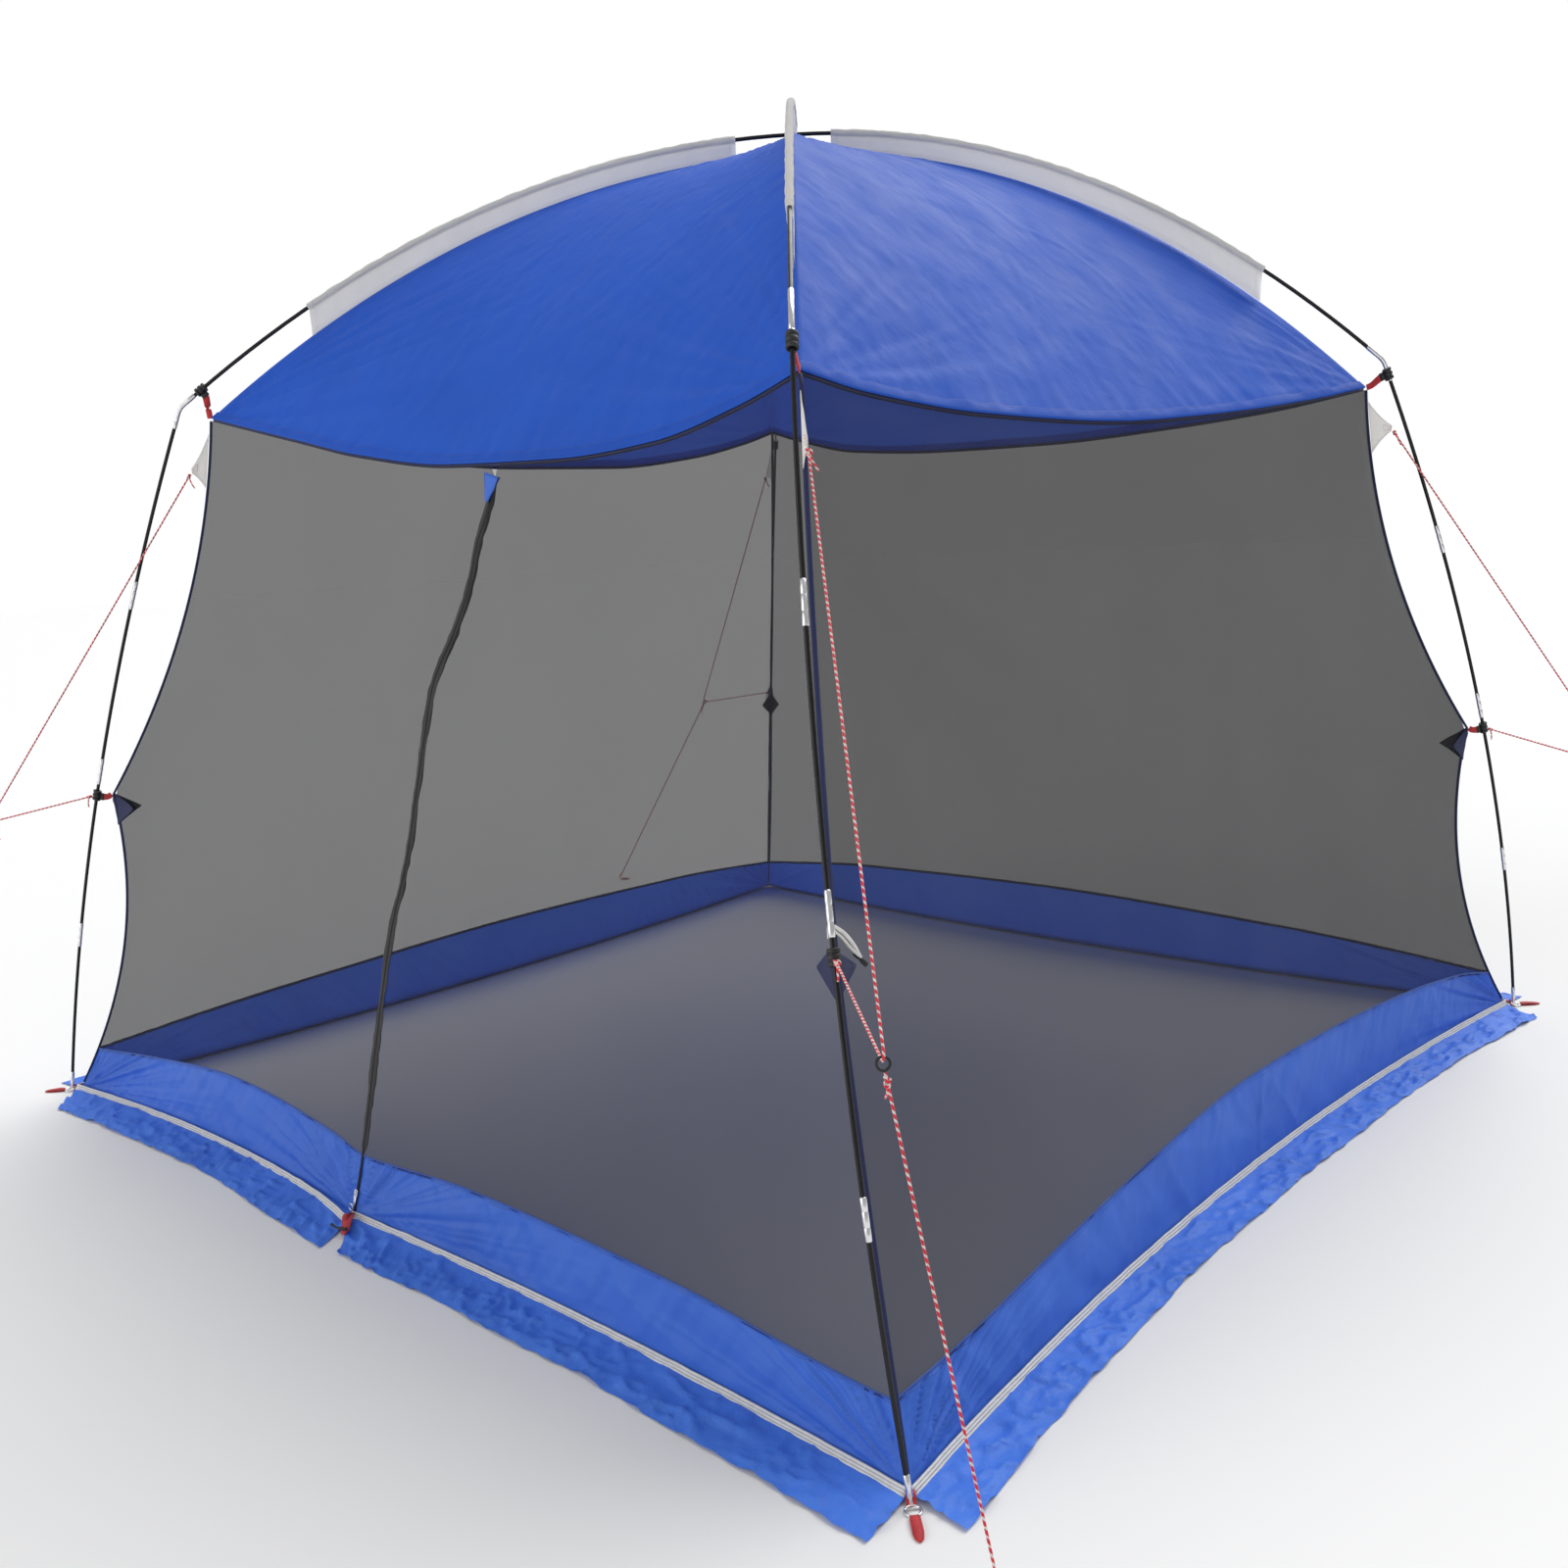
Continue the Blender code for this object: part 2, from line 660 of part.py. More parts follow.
def make_door_fixed(hand):
    """The door's upper triangle, which stays: from the crease to the corner seam and the hem."""
    corner, top, _, way = door_ends(hand)
    low = crease_end(corner, way)
    plane = (top - low).cross(outward("front")).normalized()
    lift = plane if plane.z > 0 else -plane
    start, end = low + lift * CREASE_GAP, top + lift * CREASE_GAP
    rows, columns = 8, 6
    grid = []
    for i in range(rows + 1):
        share = i / rows
        inner = start.lerp(end, share)
        outer = seam_point(corner, share) - way * SEAM_OFFSET
        row = [inner.lerp(outer, k / columns) for k in range(columns + 1)]
        if i == rows:
            row = [door_hem(hand, k / columns, end, outer) for k in range(columns + 1)]
        grid.append([tuple(point) for point in row])
    return cloth_object(f"door_fixed_{hand}", [relaxed(grid)], "mesh")


def door_hem(hand, share, start, end):
    """A point under the canopy's hem, from the zip's top (0) to the corner (1)."""
    first, last = (Vector(CANOPY_CORNER[c]) for c in SIDES["front"])
    length = (last - first).length
    begin = (Vector(ZIP_TOP) - first).dot((last - first).normalized()) / length
    target = 0.0 if hand == "left" else 1.0
    along = begin + (target - begin) * share
    point = start.lerp(end, share)
    point.z = hem_point("front", along).z - HEM_GAP - (0.0 if share else 0.004)
    return point


# The zip


def zip_direction():
    return (Vector(ZIP_TOP) - Vector(ZIP_BOTTOM)).normalized()


def zip_outward():
    """Out from the door's cloth at the zip."""
    along = zip_direction()
    return (outward("front") - along * outward("front").dot(along)).normalized()


def make_slider():
    """The zip slider, just outside the right-hand tape at the bottom of the zip, and its puller."""
    along, out = zip_direction(), zip_outward()
    side = out.cross(along) * (SLIDER_SIZE[1] / 2 + 0.001)
    if side.x < 0:
        side = -side
    centre = Vector(ZIP_BOTTOM) + along * SLIDER_HEIGHT + side + out * (CLOTH / 2 + 0.0008 + SLIDER_SIZE[2] / 2)
    shape = bmesh.new()
    add_box(shape, centre, along, along.cross(out), SLIDER_SIZE)
    bmesh.ops.bevel(shape, geom=shape.edges, offset=0.0012, segments=1, affect="EDGES")
    mesh_object("zip_slider", shape, "metal")
    pivot = centre + out * (SLIDER_SIZE[2] / 2 + 0.0022) + along * 0.004
    tab = pivot - along * (PULLER_SIZE[0] / 2)
    shape = bmesh.new()
    add_box(shape, tab, along, along.cross(out), PULLER_SIZE)
    return mesh_object("zip_puller", shape, "metal")


# The door tie-backs


def make_toggle():
    """The toggle hangs outside the front-right corner patch, clear of the side clip."""
    centre = patch_point("front_right") + Vector(TOGGLE_OFFSET)
    along = Vector(TOGGLE_ALONG).normalized()
    points = [centre + along * TOGGLE_LENGTH * s for s in (-0.5, -0.42, 0.42, 0.5)]
    shape = bmesh.new()
    add_tube(shape, points, [TOGGLE_RADIUS * 0.6, TOGGLE_RADIUS, TOGGLE_RADIUS, TOGGLE_RADIUS * 0.6])
    return mesh_object("tie_back_toggle", shape, "clip")


# The guy lines


def tab_points(corner):
    """The guy tab's root on the corner seam, top and bottom, and its outer tip."""
    out = -inward(corner)
    top = seam_point(corner, 0.985) + out * 0.008
    bottom = seam_point(corner, 0.915) + out * 0.008
    return top, bottom, Vector(TAB_TIP[corner])


def make_guy_tab(corner):
    """A flat triangle of webbing cloth that stands out from the corner seam under the canopy."""
    top, bottom, tip = tab_points(corner)
    across = (tip - bottom).cross(Vector((0, 0, 1))).normalized()
    shape = bmesh.new()
    blunt = Vector((0, 0, 0.006))
    outline = (top, tip + blunt, tip - blunt, bottom)
    layers = [[shape.verts.new(p + across * side * 0.001) for p in outline] for side in (-1, 1)]
    shape.faces.new(layers[0])
    shape.faces.new(layers[1])
    for k in range(4):
        shape.faces.new((layers[0][k], layers[0][(k + 1) % 4], layers[1][(k + 1) % 4], layers[1][k]))
    return mesh_object(f"{corner}_guy_tab", shape, "sleeve")


def make_rope(name, points):
    data = bpy.data.curves.new(name, "CURVE")
    data.dimensions = "3D"
    spline = data.splines.new("POLY")
    spline.points.add(len(points) - 1)
    for target, point in zip(spline.points, points):
        target.co = (*point, 1.0)
    data.bevel_depth = ROPE_RADIUS
    data.bevel_resolution = 2
    data.use_fill_caps = True
    made = bpy.data.objects.new(name, data)
    made.data.materials.append(material("rope"))
    bpy.context.scene.collection.objects.link(made)
    return made


def guy_pull(corner):
    return (Vector(GUY_END[corner]) - Vector(GUY_RING[corner])).normalized()


def bridle_route(corner):
    """The bridle's points, and the guy ring's axis.

    The rope goes from the guy tab's tip, round the near side of the ring's wire, and back to the side clip.
    """
    _, _, tip = tab_points(corner)
    ring = Vector(GUY_RING[corner])
    clip = leg_point(corner, SIDE_CLIP_SHARE * EAVE[corner][2])
    flat = (tip - ring).cross(clip - ring).normalized()
    pull = guy_pull(corner)
    pull = (pull - flat * pull.dot(flat)).normalized()
    wire = ring - pull * GUY_RING_RADIUS
    start = tip + (wire - tip).normalized() * TAB_BLUNT
    end = clip + (wire - clip).normalized() * (CLIP_RADIUS + 0.004)
    up, back = (start - wire).normalized(), (end - wire).normalized()
    away, across = -(up + back).normalized(), (up - back).normalized()
    wrap = (math.pi - up.angle(back)) / 2
    centre = wire + away * (GUY_RING_WIRE + ROPE_RADIUS + ROPE_GAP - BRIDLE_BEND)
    arc = [wrap * (1 - k / 4) for k in range(9)]
    turn = [centre + BRIDLE_BEND * (away * math.cos(t) + across * math.sin(t)) for t in arc]
    route = [start, start.lerp(turn[0], 0.5), *turn, turn[-1].lerp(end, 0.5), end]
    return route, flat.cross(pull)


def make_guy(corner):
    ring, pull = Vector(GUY_RING[corner]), guy_pull(corner)
    route, axis = bridle_route(corner)
    shape = bmesh.new()
    add_hoop(shape, ring, axis, GUY_RING_RADIUS, GUY_RING_WIRE, steps=12)
    mesh_object(f"{corner}_guy_ring", shape, "metal")
    make_rope(f"{corner}_bridle", route)
    start = ring + pull * (GUY_RING_RADIUS + GUY_RING_WIRE + ROPE_GAP)
    end = Vector(GUY_END[corner])
    make_rope(f"{corner}_guy_line", [start, start.lerp(end, 0.5), end])


def clear_scene():
    for old in list(bpy.data.objects):
        bpy.data.objects.remove(old)


def shade_round(made):
    if made.type == "MESH":
        made.data.shade_smooth()
        made.data.set_sharp_from_angle(angle=math.radians(35))


def main():
    clear_scene()
    for corner in CORNERS:
        make_leg(corner)
        make_foot_ring(corner)
        make_clips(corner)
        make_guy_tab(corner)
        make_guy(corner)
    for name, (first, last) in POLES.items():
        make_roof_arc(f"{name}_roof_arc", first, last)
    make_canopy()
    make_sleeves()
    make_plain_walls()
    for hand in ("left", "right"):
        make_flap(hand)
        make_door_fixed(hand)
    make_slider()
    make_toggle()
    for made in bpy.context.scene.objects:
        shade_round(made)


main()
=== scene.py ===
"""The looks of a pitched screen-house shelter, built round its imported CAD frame.

Everything is in metres in the frame of the CAD part: +Z up, the origin on the ground, the door facing -Y.
"""

import json
import math

import bpy
import numpy as np
from mathutils import Matrix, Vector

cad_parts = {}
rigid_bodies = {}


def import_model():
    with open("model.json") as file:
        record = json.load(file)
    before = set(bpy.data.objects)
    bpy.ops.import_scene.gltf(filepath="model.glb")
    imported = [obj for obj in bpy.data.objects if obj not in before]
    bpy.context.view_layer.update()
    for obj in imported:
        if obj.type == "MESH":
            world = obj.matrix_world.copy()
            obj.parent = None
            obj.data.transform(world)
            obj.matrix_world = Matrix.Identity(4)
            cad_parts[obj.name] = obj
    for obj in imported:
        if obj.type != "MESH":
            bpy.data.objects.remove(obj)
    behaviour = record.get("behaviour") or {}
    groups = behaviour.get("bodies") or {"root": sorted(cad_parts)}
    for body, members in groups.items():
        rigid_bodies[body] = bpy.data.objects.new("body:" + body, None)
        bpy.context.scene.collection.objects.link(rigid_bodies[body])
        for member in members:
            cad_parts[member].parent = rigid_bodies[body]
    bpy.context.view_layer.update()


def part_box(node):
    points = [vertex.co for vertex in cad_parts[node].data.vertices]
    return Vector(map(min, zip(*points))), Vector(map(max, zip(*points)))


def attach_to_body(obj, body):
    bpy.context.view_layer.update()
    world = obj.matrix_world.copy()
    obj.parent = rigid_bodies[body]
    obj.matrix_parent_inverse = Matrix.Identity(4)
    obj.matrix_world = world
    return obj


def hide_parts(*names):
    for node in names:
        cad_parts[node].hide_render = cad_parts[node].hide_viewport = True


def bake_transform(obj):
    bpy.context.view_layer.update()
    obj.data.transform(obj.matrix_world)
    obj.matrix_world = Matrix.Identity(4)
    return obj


for old in list(bpy.data.objects):
    bpy.data.objects.remove(old)
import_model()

# ---- Where the pitched frame stands, as in the CAD source ----

CORNERS = ("front_left", "front_right", "back_right", "back_left")
FOOT = {
    "front_left": (-1.535, -1.479),
    "front_right": (1.534, -1.464),
    "back_right": (1.507, 1.486),
    "back_left": (-1.495, 1.468),
}
KNEE = {
    "front_left": (-1.346, -1.288, 0.874),
    "front_right": (1.312, -1.346, 0.860),
    "back_right": (1.375, 1.303, 0.849),
    "back_left": (-1.290, 1.330, 0.861),
}
EAVE = {
    "front_left": (-1.065, -1.005, 1.778),
    "front_right": (1.012, -1.039, 1.736),
    "back_right": (1.145, 0.980, 1.734),
    "back_left": (-0.978, 1.090, 1.747),
}
CANOPY_CORNER = {
    "front_left": (-1.012, -0.953, 1.752),
    "front_right": (1.000, -1.012, 1.655),
    "back_right": (1.105, 0.982, 1.678),
    "back_left": (-0.962, 1.054, 1.740),
}
APEX = np.array((0.074, 0.053, 2.286))
POLES = {"pole_a": ("front_left", "back_right"), "pole_b": ("front_right", "back_left")}
CROSSING_LIFT = 0.012
SIDES = {
    "front": ("front_left", "front_right"),
    "right": ("front_right", "back_right"),
    "back": ("back_right", "back_left"),
    "left": ("back_left", "front_left"),
}
# How far the canopy's hem hangs below the line between its corners: (share of the side, drop).
HEM_DROP = {
    "front": (
        (0, 0), (0.21, 0.062), (0.33, 0.096), (0.5, 0.121), (0.68, 0.117), (0.82, 0.094), (0.93, 0.045), (1, 0),
    ),
    "right": ((0, 0), (0.08, 0.030), (0.24, 0.061), (0.45, 0.074), (0.62, 0.062), (0.85, 0.030), (1, 0)),
    "back": (
        (0, 0), (0.11, 0.034), (0.26, 0.062), (0.45, 0.084), (0.64, 0.088), (0.82, 0.074), (0.93, 0.035), (1, 0),
    ),
    "left": (
        (0, 0), (0.07, 0.036), (0.19, 0.080), (0.36, 0.110), (0.55, 0.111), (0.75, 0.085), (0.90, 0.038), (1, 0),
    ),
}
# How tall the solid band at the foot of each wall is: (share of the side, height).
BAND_HEIGHT = {
    "front": (
        (0, 0.125), (0.1, 0.155), (0.25, 0.184), (0.41, 0.165), (0.47, 0.150), (0.60, 0.165), (0.82, 0.158),
        (0.92, 0.142), (1, 0.130),
    ),
    "right": (
        (0, 0.130), (0.09, 0.138), (0.18, 0.156), (0.31, 0.181), (0.50, 0.213), (0.66, 0.205), (0.81, 0.184),
        (0.93, 0.150), (1, 0.110),
    ),
    "back": ((0, 0.11), (0.2, 0.17), (0.5, 0.205), (0.8, 0.18), (1, 0.125)),
    "left": ((0, 0.125), (0.2, 0.175), (0.5, 0.20), (0.8, 0.17), (1, 0.125)),
}
GROUND_BOW = {"front": 0.075, "right": 0.098, "back": 0.085, "left": 0.085}
# The zip, from the canopy's hem down to the ground.
ZIP_PATH = (
    (0.150, -0.984, 1.545), (0.129, -1.001, 1.474), (0.109, -1.0115, 1.431), (0.094, -1.0375, 1.342),
    (0.065, -1.065, 1.260), (0.022, -1.100, 1.165), (0.006, -1.140, 1.033), (-0.018, -1.208, 0.791),
    (-0.043, -1.252, 0.650), (-0.060, -1.322, 0.410), (-0.073, -1.396, 0.151), (-0.090, -1.434, 0.010),
)
GUY_RING = {
    "front_left": (-1.560, -1.502, 0.790),
    "front_right": (1.598, -1.585, 0.787),
    "back_right": (1.640, 1.618, 0.695),
    "back_left": (-1.760, 1.420, 0.765),
}
GUY_END = {
    "front_left": (-1.830, -1.800, 0.004),
    "front_right": (1.925, -1.730, 0.004),
    "back_right": (1.850, 1.820, 0.004),
    "back_left": (-2.170, 1.214, 0.004),
}
TAB_TIP = {
    "front_left": (-1.0512, -1.0103, 1.6334),
    "front_right": (1.0714, -1.0814, 1.5402),
    "back_right": (1.1702, 1.0076, 1.5811),
    "back_left": (-1.048, 1.107, 1.607),
}
# Where each sleeve starts and ends, as shares of the way from the apex down to the eave.
SLEEVE_SPAN = {
    "front_left": (0.09, 0.771),
    "front_right": (0.0, 0.824),
    "back_right": (0.06, 0.785),
    "back_left": (0.0, 0.815),
}
FERRULE_SHARES = (0.26, 0.51, 0.758)
FERRULE_LENGTH, FERRULE_RADIUS, ROD_RADIUS = 0.066, 0.0055, 0.00425
ELBOW_REACH, TIP_HEIGHT, FOOT_CLEARANCE = 0.045, 0.059, 0.0075
SIDE_CLIP_SHARE, ROOF_CLIP_REACH = 0.475, 0.064
EAVE_CLIP_DROP = {"front_right": 0.046, "back_right": 0.030, "back_left": 0.046}
CANOPY_TOP_DROP, HEM_GAP, HEM_HEIGHT = 0.038, 0.006, 0.006
SEAM_SAG_UPPER, SEAM_SAG_LOWER, PATCH_REACH, HEM_INSET = 0.065, 0.078, 0.048, 0.030
ROPE_RADIUS, ROPE_GAP = 0.002, 0.0006
GUY_RING_RADIUS, GUY_RING_WIRE = 0.009, 0.002
TAB_BLUNT = 0.009
SIDE_CLIP_RADIUS = 0.0105
BRIDLE_BEND, BRIDLE_SHIFT = 0.0085, -0.0039
BRIDLE_TURN = [1 - k / 12 for k in range(25)]
ROPE_STEP, ROPE_PITCH, WHITE_SHARE = 0.0016, 0.0115, 0.36
KNOT_ROPE_RADIUS, LOOSE_ROPE_RADIUS = 0.0017, 0.0018
SECTION_GAP, COLLAR_GAP = 0.0004, 0.0002
TOGGLE_LENGTH = 0.030
UP = np.array((0.0, 0.0, 1.0))


# ---- Small helpers: vectors, curves and noise ----


def vec(*values):
    return np.array(values[0] if len(values) == 1 else values, float)


def unit(v):
    return v / np.linalg.norm(v)


def unit_rows(rows):
    return rows / np.maximum(np.linalg.norm(rows, axis=-1, keepdims=True), 1e-9)


def lerp(a, b, t):
    return a + (b - a) * t


def smooth(t):
    t = np.clip(t, 0, 1)
    return t * t * (3 - 2 * t)


def circle(count):
    """Angles spread evenly round a whole turn."""
    return np.linspace(0, 2 * math.pi, count, endpoint=False)


def line_length(points):
    return np.linalg.norm(np.diff(points, axis=0), axis=1).sum()


def lengths_along(points):
    """How far along the line each of its points is."""
    return np.concatenate([[0], np.cumsum(np.linalg.norm(np.diff(points, axis=0), axis=1))])


def hermite(t, h, start, end, start_slope, end_slope):
    """The cubic from start to end over a step h, read at shares t of the step."""
    a, b = (1 + 2 * t) * (1 - t) ** 2, t * t * (3 - 2 * t)
    c, d = t * (1 - t) ** 2 * h, t * t * (t - 1) * h
    return a * start + b * end + c * start_slope + d * end_slope


def profile(pairs, x):
    """A smooth curve through (x, value) pairs, read at x. Monotone between them, so it never overshoots."""
    xs, ys = np.array(pairs, float).T
    slopes = np.diff(ys) / np.diff(xs)
    products = slopes[:-1] * slopes[1:]
    inner = np.where(products > 0, 2 * slopes[:-1] * slopes[1:] / (slopes[:-1] + slopes[1:] + 1e-12), 0)
    tangents = np.concatenate([[slopes[0]], inner, [slopes[-1]]])
    x = np.asarray(x, float)
    k = np.clip(np.searchsorted(xs, x) - 1, 0, len(xs) - 2)
    h = xs[k + 1] - xs[k]
    t = np.clip((x - xs[k]) / h, 0, 1)
    return hermite(t, h, ys[k], ys[k + 1], tangents[k], tangents[k + 1])


def spline(points, count=None, step=None):
    """Evenly spaced points on a smooth curve through points."""
    points = np.array(points, float)
    lengths = lengths_along(points)
    slopes = np.gradient(points, lengths, axis=0)
    t = np.linspace(0, 1, 25)[:-1, None]
    fine = []
    for k in range(len(points) - 1):
        h = lengths[k + 1] - lengths[k]
        fine.append(hermite(t, h, points[k], points[k + 1], slopes[k], slopes[k + 1]))
    fine = np.concatenate([*fine, points[-1:]])
    return respaced(fine, count, step)


def respaced(points, count=None, step=None):
    """The same line with evenly spaced points: count of them, or about one each step."""
    lengths = lengths_along(points)
    count = count or max(3, int(round(lengths[-1] / step)) + 1)
    even = np.linspace(0, lengths[-1], count)
    return np.stack([np.interp(even, lengths, points[:, k]) for k in range(3)], axis=1)


def lattice(ix, iy, seed):
    """A fixed scattering of values from -1 to 1 over the whole numbers of the plane."""
    n = (ix.astype(np.int64) * 374761393 + iy.astype(np.int64) * 668265263 + seed * 974634777) & 0xFFFFFFFF
    n = ((n ^ (n >> 13)) * 1274126177) & 0xFFFFFFFF
    return ((n ^ (n >> 16)) & 0xFFFF) / 32767.5 - 1


def noise(x, y, seed):
    """Smooth noise in the plane, from -1 to 1, with a feature size of about 1."""
    x, y = np.broadcast_arrays(np.asarray(x, float), np.asarray(y, float))
    ix, iy = np.floor(x), np.floor(y)
    fx, fy = x - ix, y - iy
    fx, fy = fx**3 * (fx * (fx * 6 - 15) + 10), fy**3 * (fy * (fy * 6 - 15) + 10)
    a, b = lattice(ix, iy, seed), lattice(ix + 1, iy, seed)
    c, d = lattice(ix, iy + 1, seed), lattice(ix + 1, iy + 1, seed)
    return lerp(lerp(a, b, fx), lerp(c, d, fx), fy)


def creases(x, y, seed):
    """Sharp-topped folds, from 0 in the hollows to 1 on the crests."""
    return 1 - np.abs(noise(x, y, seed)) * 1.6


# ---- Curves of the frame and the fabric, as in the CAD source ----


def inward(corner):
    """The level direction from a foot towards the middle."""
    x, y = FOOT[corner]
    return unit(vec(-x, -y, 0))


def leg_point(corner, height):
    """A point on the leg's bowed centre line, which passes through the foot, the knee and the eave."""
    foot, knee, eave = (*FOOT[corner], 0.0), KNEE[corner], EAVE[corner]
    a, b, c = foot[2], knee[2], eave[2]
    shares = (
        (height - b) * (height - c) / ((a - b) * (a - c)),
        (height - a) * (height - c) / ((b - a) * (b - c)),
        (height - a) * (height - b) / ((c - a) * (c - b)),
    )
    x, y = (sum(s * p[k] for s, p in zip(shares, (foot, knee, eave))) for k in (0, 1))
    return vec(x, y, height)


def roof_point(corner, share):
    """A point on the roof pole's centre line, from the apex (0) to the eave (1)."""
    lift = CROSSING_LIFT if corner in POLES["pole_b"] else 0.0
    apex, eave = APEX + UP * lift, vec(EAVE[corner])
    point = lerp(apex, eave, share)
    point[2] = apex[2] - (apex[2] - eave[2]) * share**2
    return point


def ridge_point(corner, share):
    """A point on the canopy's ridge below the pole, from the top (0) to the corner (1)."""
    top, end = APEX - UP * CANOPY_TOP_DROP, vec(CANOPY_CORNER[corner])
    point = lerp(top, end, share)
    point[2] = top[2] - (top[2] - end[2]) * share**2
    return point


def hem_point(side, share):
    start, end = (vec(CANOPY_CORNER[c]) for c in SIDES[side])
    return lerp(start, end, share) - UP * float(profile(HEM_DROP[side], share))


def patch_point(corner):
    return leg_point(corner, SIDE_CLIP_SHARE * EAVE[corner][2]) + inward(corner) * PATCH_REACH


def seam_foot(corner):
    return vec(*FOOT[corner], HEM_HEIGHT) + inward(corner) * HEM_INSET


def seam_point(corner, share):
    """A point on the walls' corner seam, from the ground (0) by the patch (0.5) to the canopy (1)."""
    foot, patch = seam_foot(corner), patch_point(corner)
    top = vec(CANOPY_CORNER[corner]) - UP * HEM_GAP
    if share <= 0.5:
        start, end, part, sag = foot, patch, share * 2, SEAM_SAG_LOWER
    else:
        start, end, part, sag = patch, top, share * 2 - 1, SEAM_SAG_UPPER
    return lerp(start, end, part) + inward(corner) * sag * 4 * part * (1 - part)


def along_side(side):
    first, last = (vec(*FOOT[c], 0) for c in SIDES[side])
    return unit(last - first)


def outward(side):
    x, y, _ = along_side(side)
    return vec(y, -x, 0)


def ground_point(side, share):
    first, last = (seam_foot(c) for c in SIDES[side])
    return lerp(first, last, share) - outward(side) * GROUND_BOW[side] * 4 * share * (1 - share)


def zip_line(count):
    """The zip's path from the ground up to the canopy's hem."""
    return spline(ZIP_PATH[::-1], count=count)


# ---- Meshes ----


def new_object(name, data, material, body="frame"):
    made = bpy.data.objects.new(name, data)
    bpy.context.scene.collection.objects.link(made)
    for m in material if isinstance(material, (list, tuple)) else [material]:
        data.materials.append(m)
    if body:
        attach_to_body(made, body)
    return made


def mesh_piece(name, points, faces, material, body="frame", face_materials=None, uv=None, flat=False):
    data = bpy.data.meshes.new(name)
    data.from_pydata([tuple(map(float, p)) for p in points], [], [tuple(map(int, f)) for f in faces])
    if not flat:
        data.shade_smooth()
    made = new_object(name, data, material, body)
    if face_materials is not None:
        data.polygons.foreach_set("material_index", np.asarray(face_materials, np.int32))
    if uv is not None:
        layer = data.uv_layers.new(name="cloth")
        loops = np.zeros(len(data.loops), np.int32)
        data.loops.foreach_get("vertex_index", loops)
        layer.data.foreach_set("uv", np.asarray(uv, np.float32)[loops].ravel())
    data.update()
    return made


def grid_faces(rows, columns, offset=0, closed=False):
    wide = columns if closed else columns - 1
    i, j = np.meshgrid(np.arange(rows - 1), np.arange(wide), indexing="ij")
    a = i * columns + j
    b = i * columns + (j + 1) % columns
    return np.stack([a, b, b + columns, a + columns], axis=-1).reshape(-1, 4) + offset


def grid_lengths(grid):
    """How far along the cloth each point of a grid is, across and up, in metres."""
    across = np.cumsum(np.pad(np.linalg.norm(np.diff(grid, axis=1), axis=2), ((0, 0), (1, 0))), axis=1)
    up = np.cumsum(np.pad(np.linalg.norm(np.diff(grid, axis=0), axis=2), ((1, 0), (0, 0))), axis=0)
    return across, up


def grid_piece(name, grid, material, body="frame"):
    across, up = grid_lengths(grid)
    uv = np.stack([across, up], axis=-1).reshape(-1, 2)
    return mesh_piece(name, grid.reshape(-1, 3), grid_faces(*grid.shape[:2]), material, body, uv=uv)


def grid_normals(grid):
    normals = np.cross(np.gradient(grid, axis=1), np.gradient(grid, axis=0))
    return normals / np.maximum(np.linalg.norm(normals, axis=2, keepdims=True), 1e-12)


def relaxed(grid, rounds):
    """The surface drawn taut inside its edges."""
    for _ in range(rounds):
        around = grid[:-2, 1:-1] + grid[2:, 1:-1] + grid[1:-1, :-2] + grid[1:-1, 2:]
        grid[1:-1, 1:-1] = around / 4
    return grid


def patch_between(low, high, start, end):
    """A taut surface inside four edges. low and high run along it, start and end go up its two sides."""
    rows, columns = len(start), len(low)
    u, v = np.linspace(0, 1, columns)[None, :, None], np.linspace(0, 1, rows)[:, None, None]
    grid = (1 - v) * low[None] + v * high[None] + (1 - u) * start[:, None] + u * end[:, None]
    grid -= (1 - u) * (1 - v) * low[0] + u * (1 - v) * low[-1] + (1 - u) * v * high[0] + u * v * high[-1]
    return relaxed(grid, 2500)


def read_grid(grid, u, v):
    """The surface's points at shares u along it and v up it, both from 0 to 1."""
    rows, columns = grid.shape[:2]
    x, y = np.clip(u, 0, 1) * (columns - 1), np.clip(v, 0, 1) * (rows - 1)
    ix, iy = np.minimum(x.astype(int), columns - 2), np.minimum(y.astype(int), rows - 2)
    fx, fy = (x - ix)[..., None], (y - iy)[..., None]
    low = grid[iy, ix] * (1 - fx) + grid[iy, ix + 1] * fx
    high = grid[iy + 1, ix] * (1 - fx) + grid[iy + 1, ix + 1] * fx
    return low * (1 - fy) + high * fy


def frames_along(points, closed=False):
    """A line's tangents, and two directions square to each that turn as little as they can."""
    points = np.asarray(points, float)
    if closed:
        tangents = np.roll(points, -1, axis=0) - np.roll(points, 1, axis=0)
    else:
        tangents = np.gradient(points, axis=0)
    tangents /= np.linalg.norm(tangents, axis=1, keepdims=True)
    helper = vec(0, 0, 1) if abs(tangents[0][2]) < 0.9 else vec(1, 0, 0)
    across = unit(np.cross(tangents[0], helper))
    sides = []
    for tangent in tangents:
        across = unit(across - tangent * across.dot(tangent))
        sides.append(across)
    sides = np.array(sides)
    return tangents, sides, np.cross(tangents, sides)


def ring_points(points, radii, across, over, sides):
    turns = circle(sides)
    return points[:, None] + radii * (
        across[:, None] * np.cos(turns)[None, :, None] + over[:, None] * np.sin(turns)[None, :, None]
    )


def prism_faces(rings, sides):
    """The faces of a tube of this many rings, with its two ends closed."""
    last = (rings - 1) * sides
    faces = [tuple(f) for f in grid_faces(rings, sides, closed=True)]
    return [*faces, tuple(range(sides))[::-1], tuple(range(last, last + sides))]


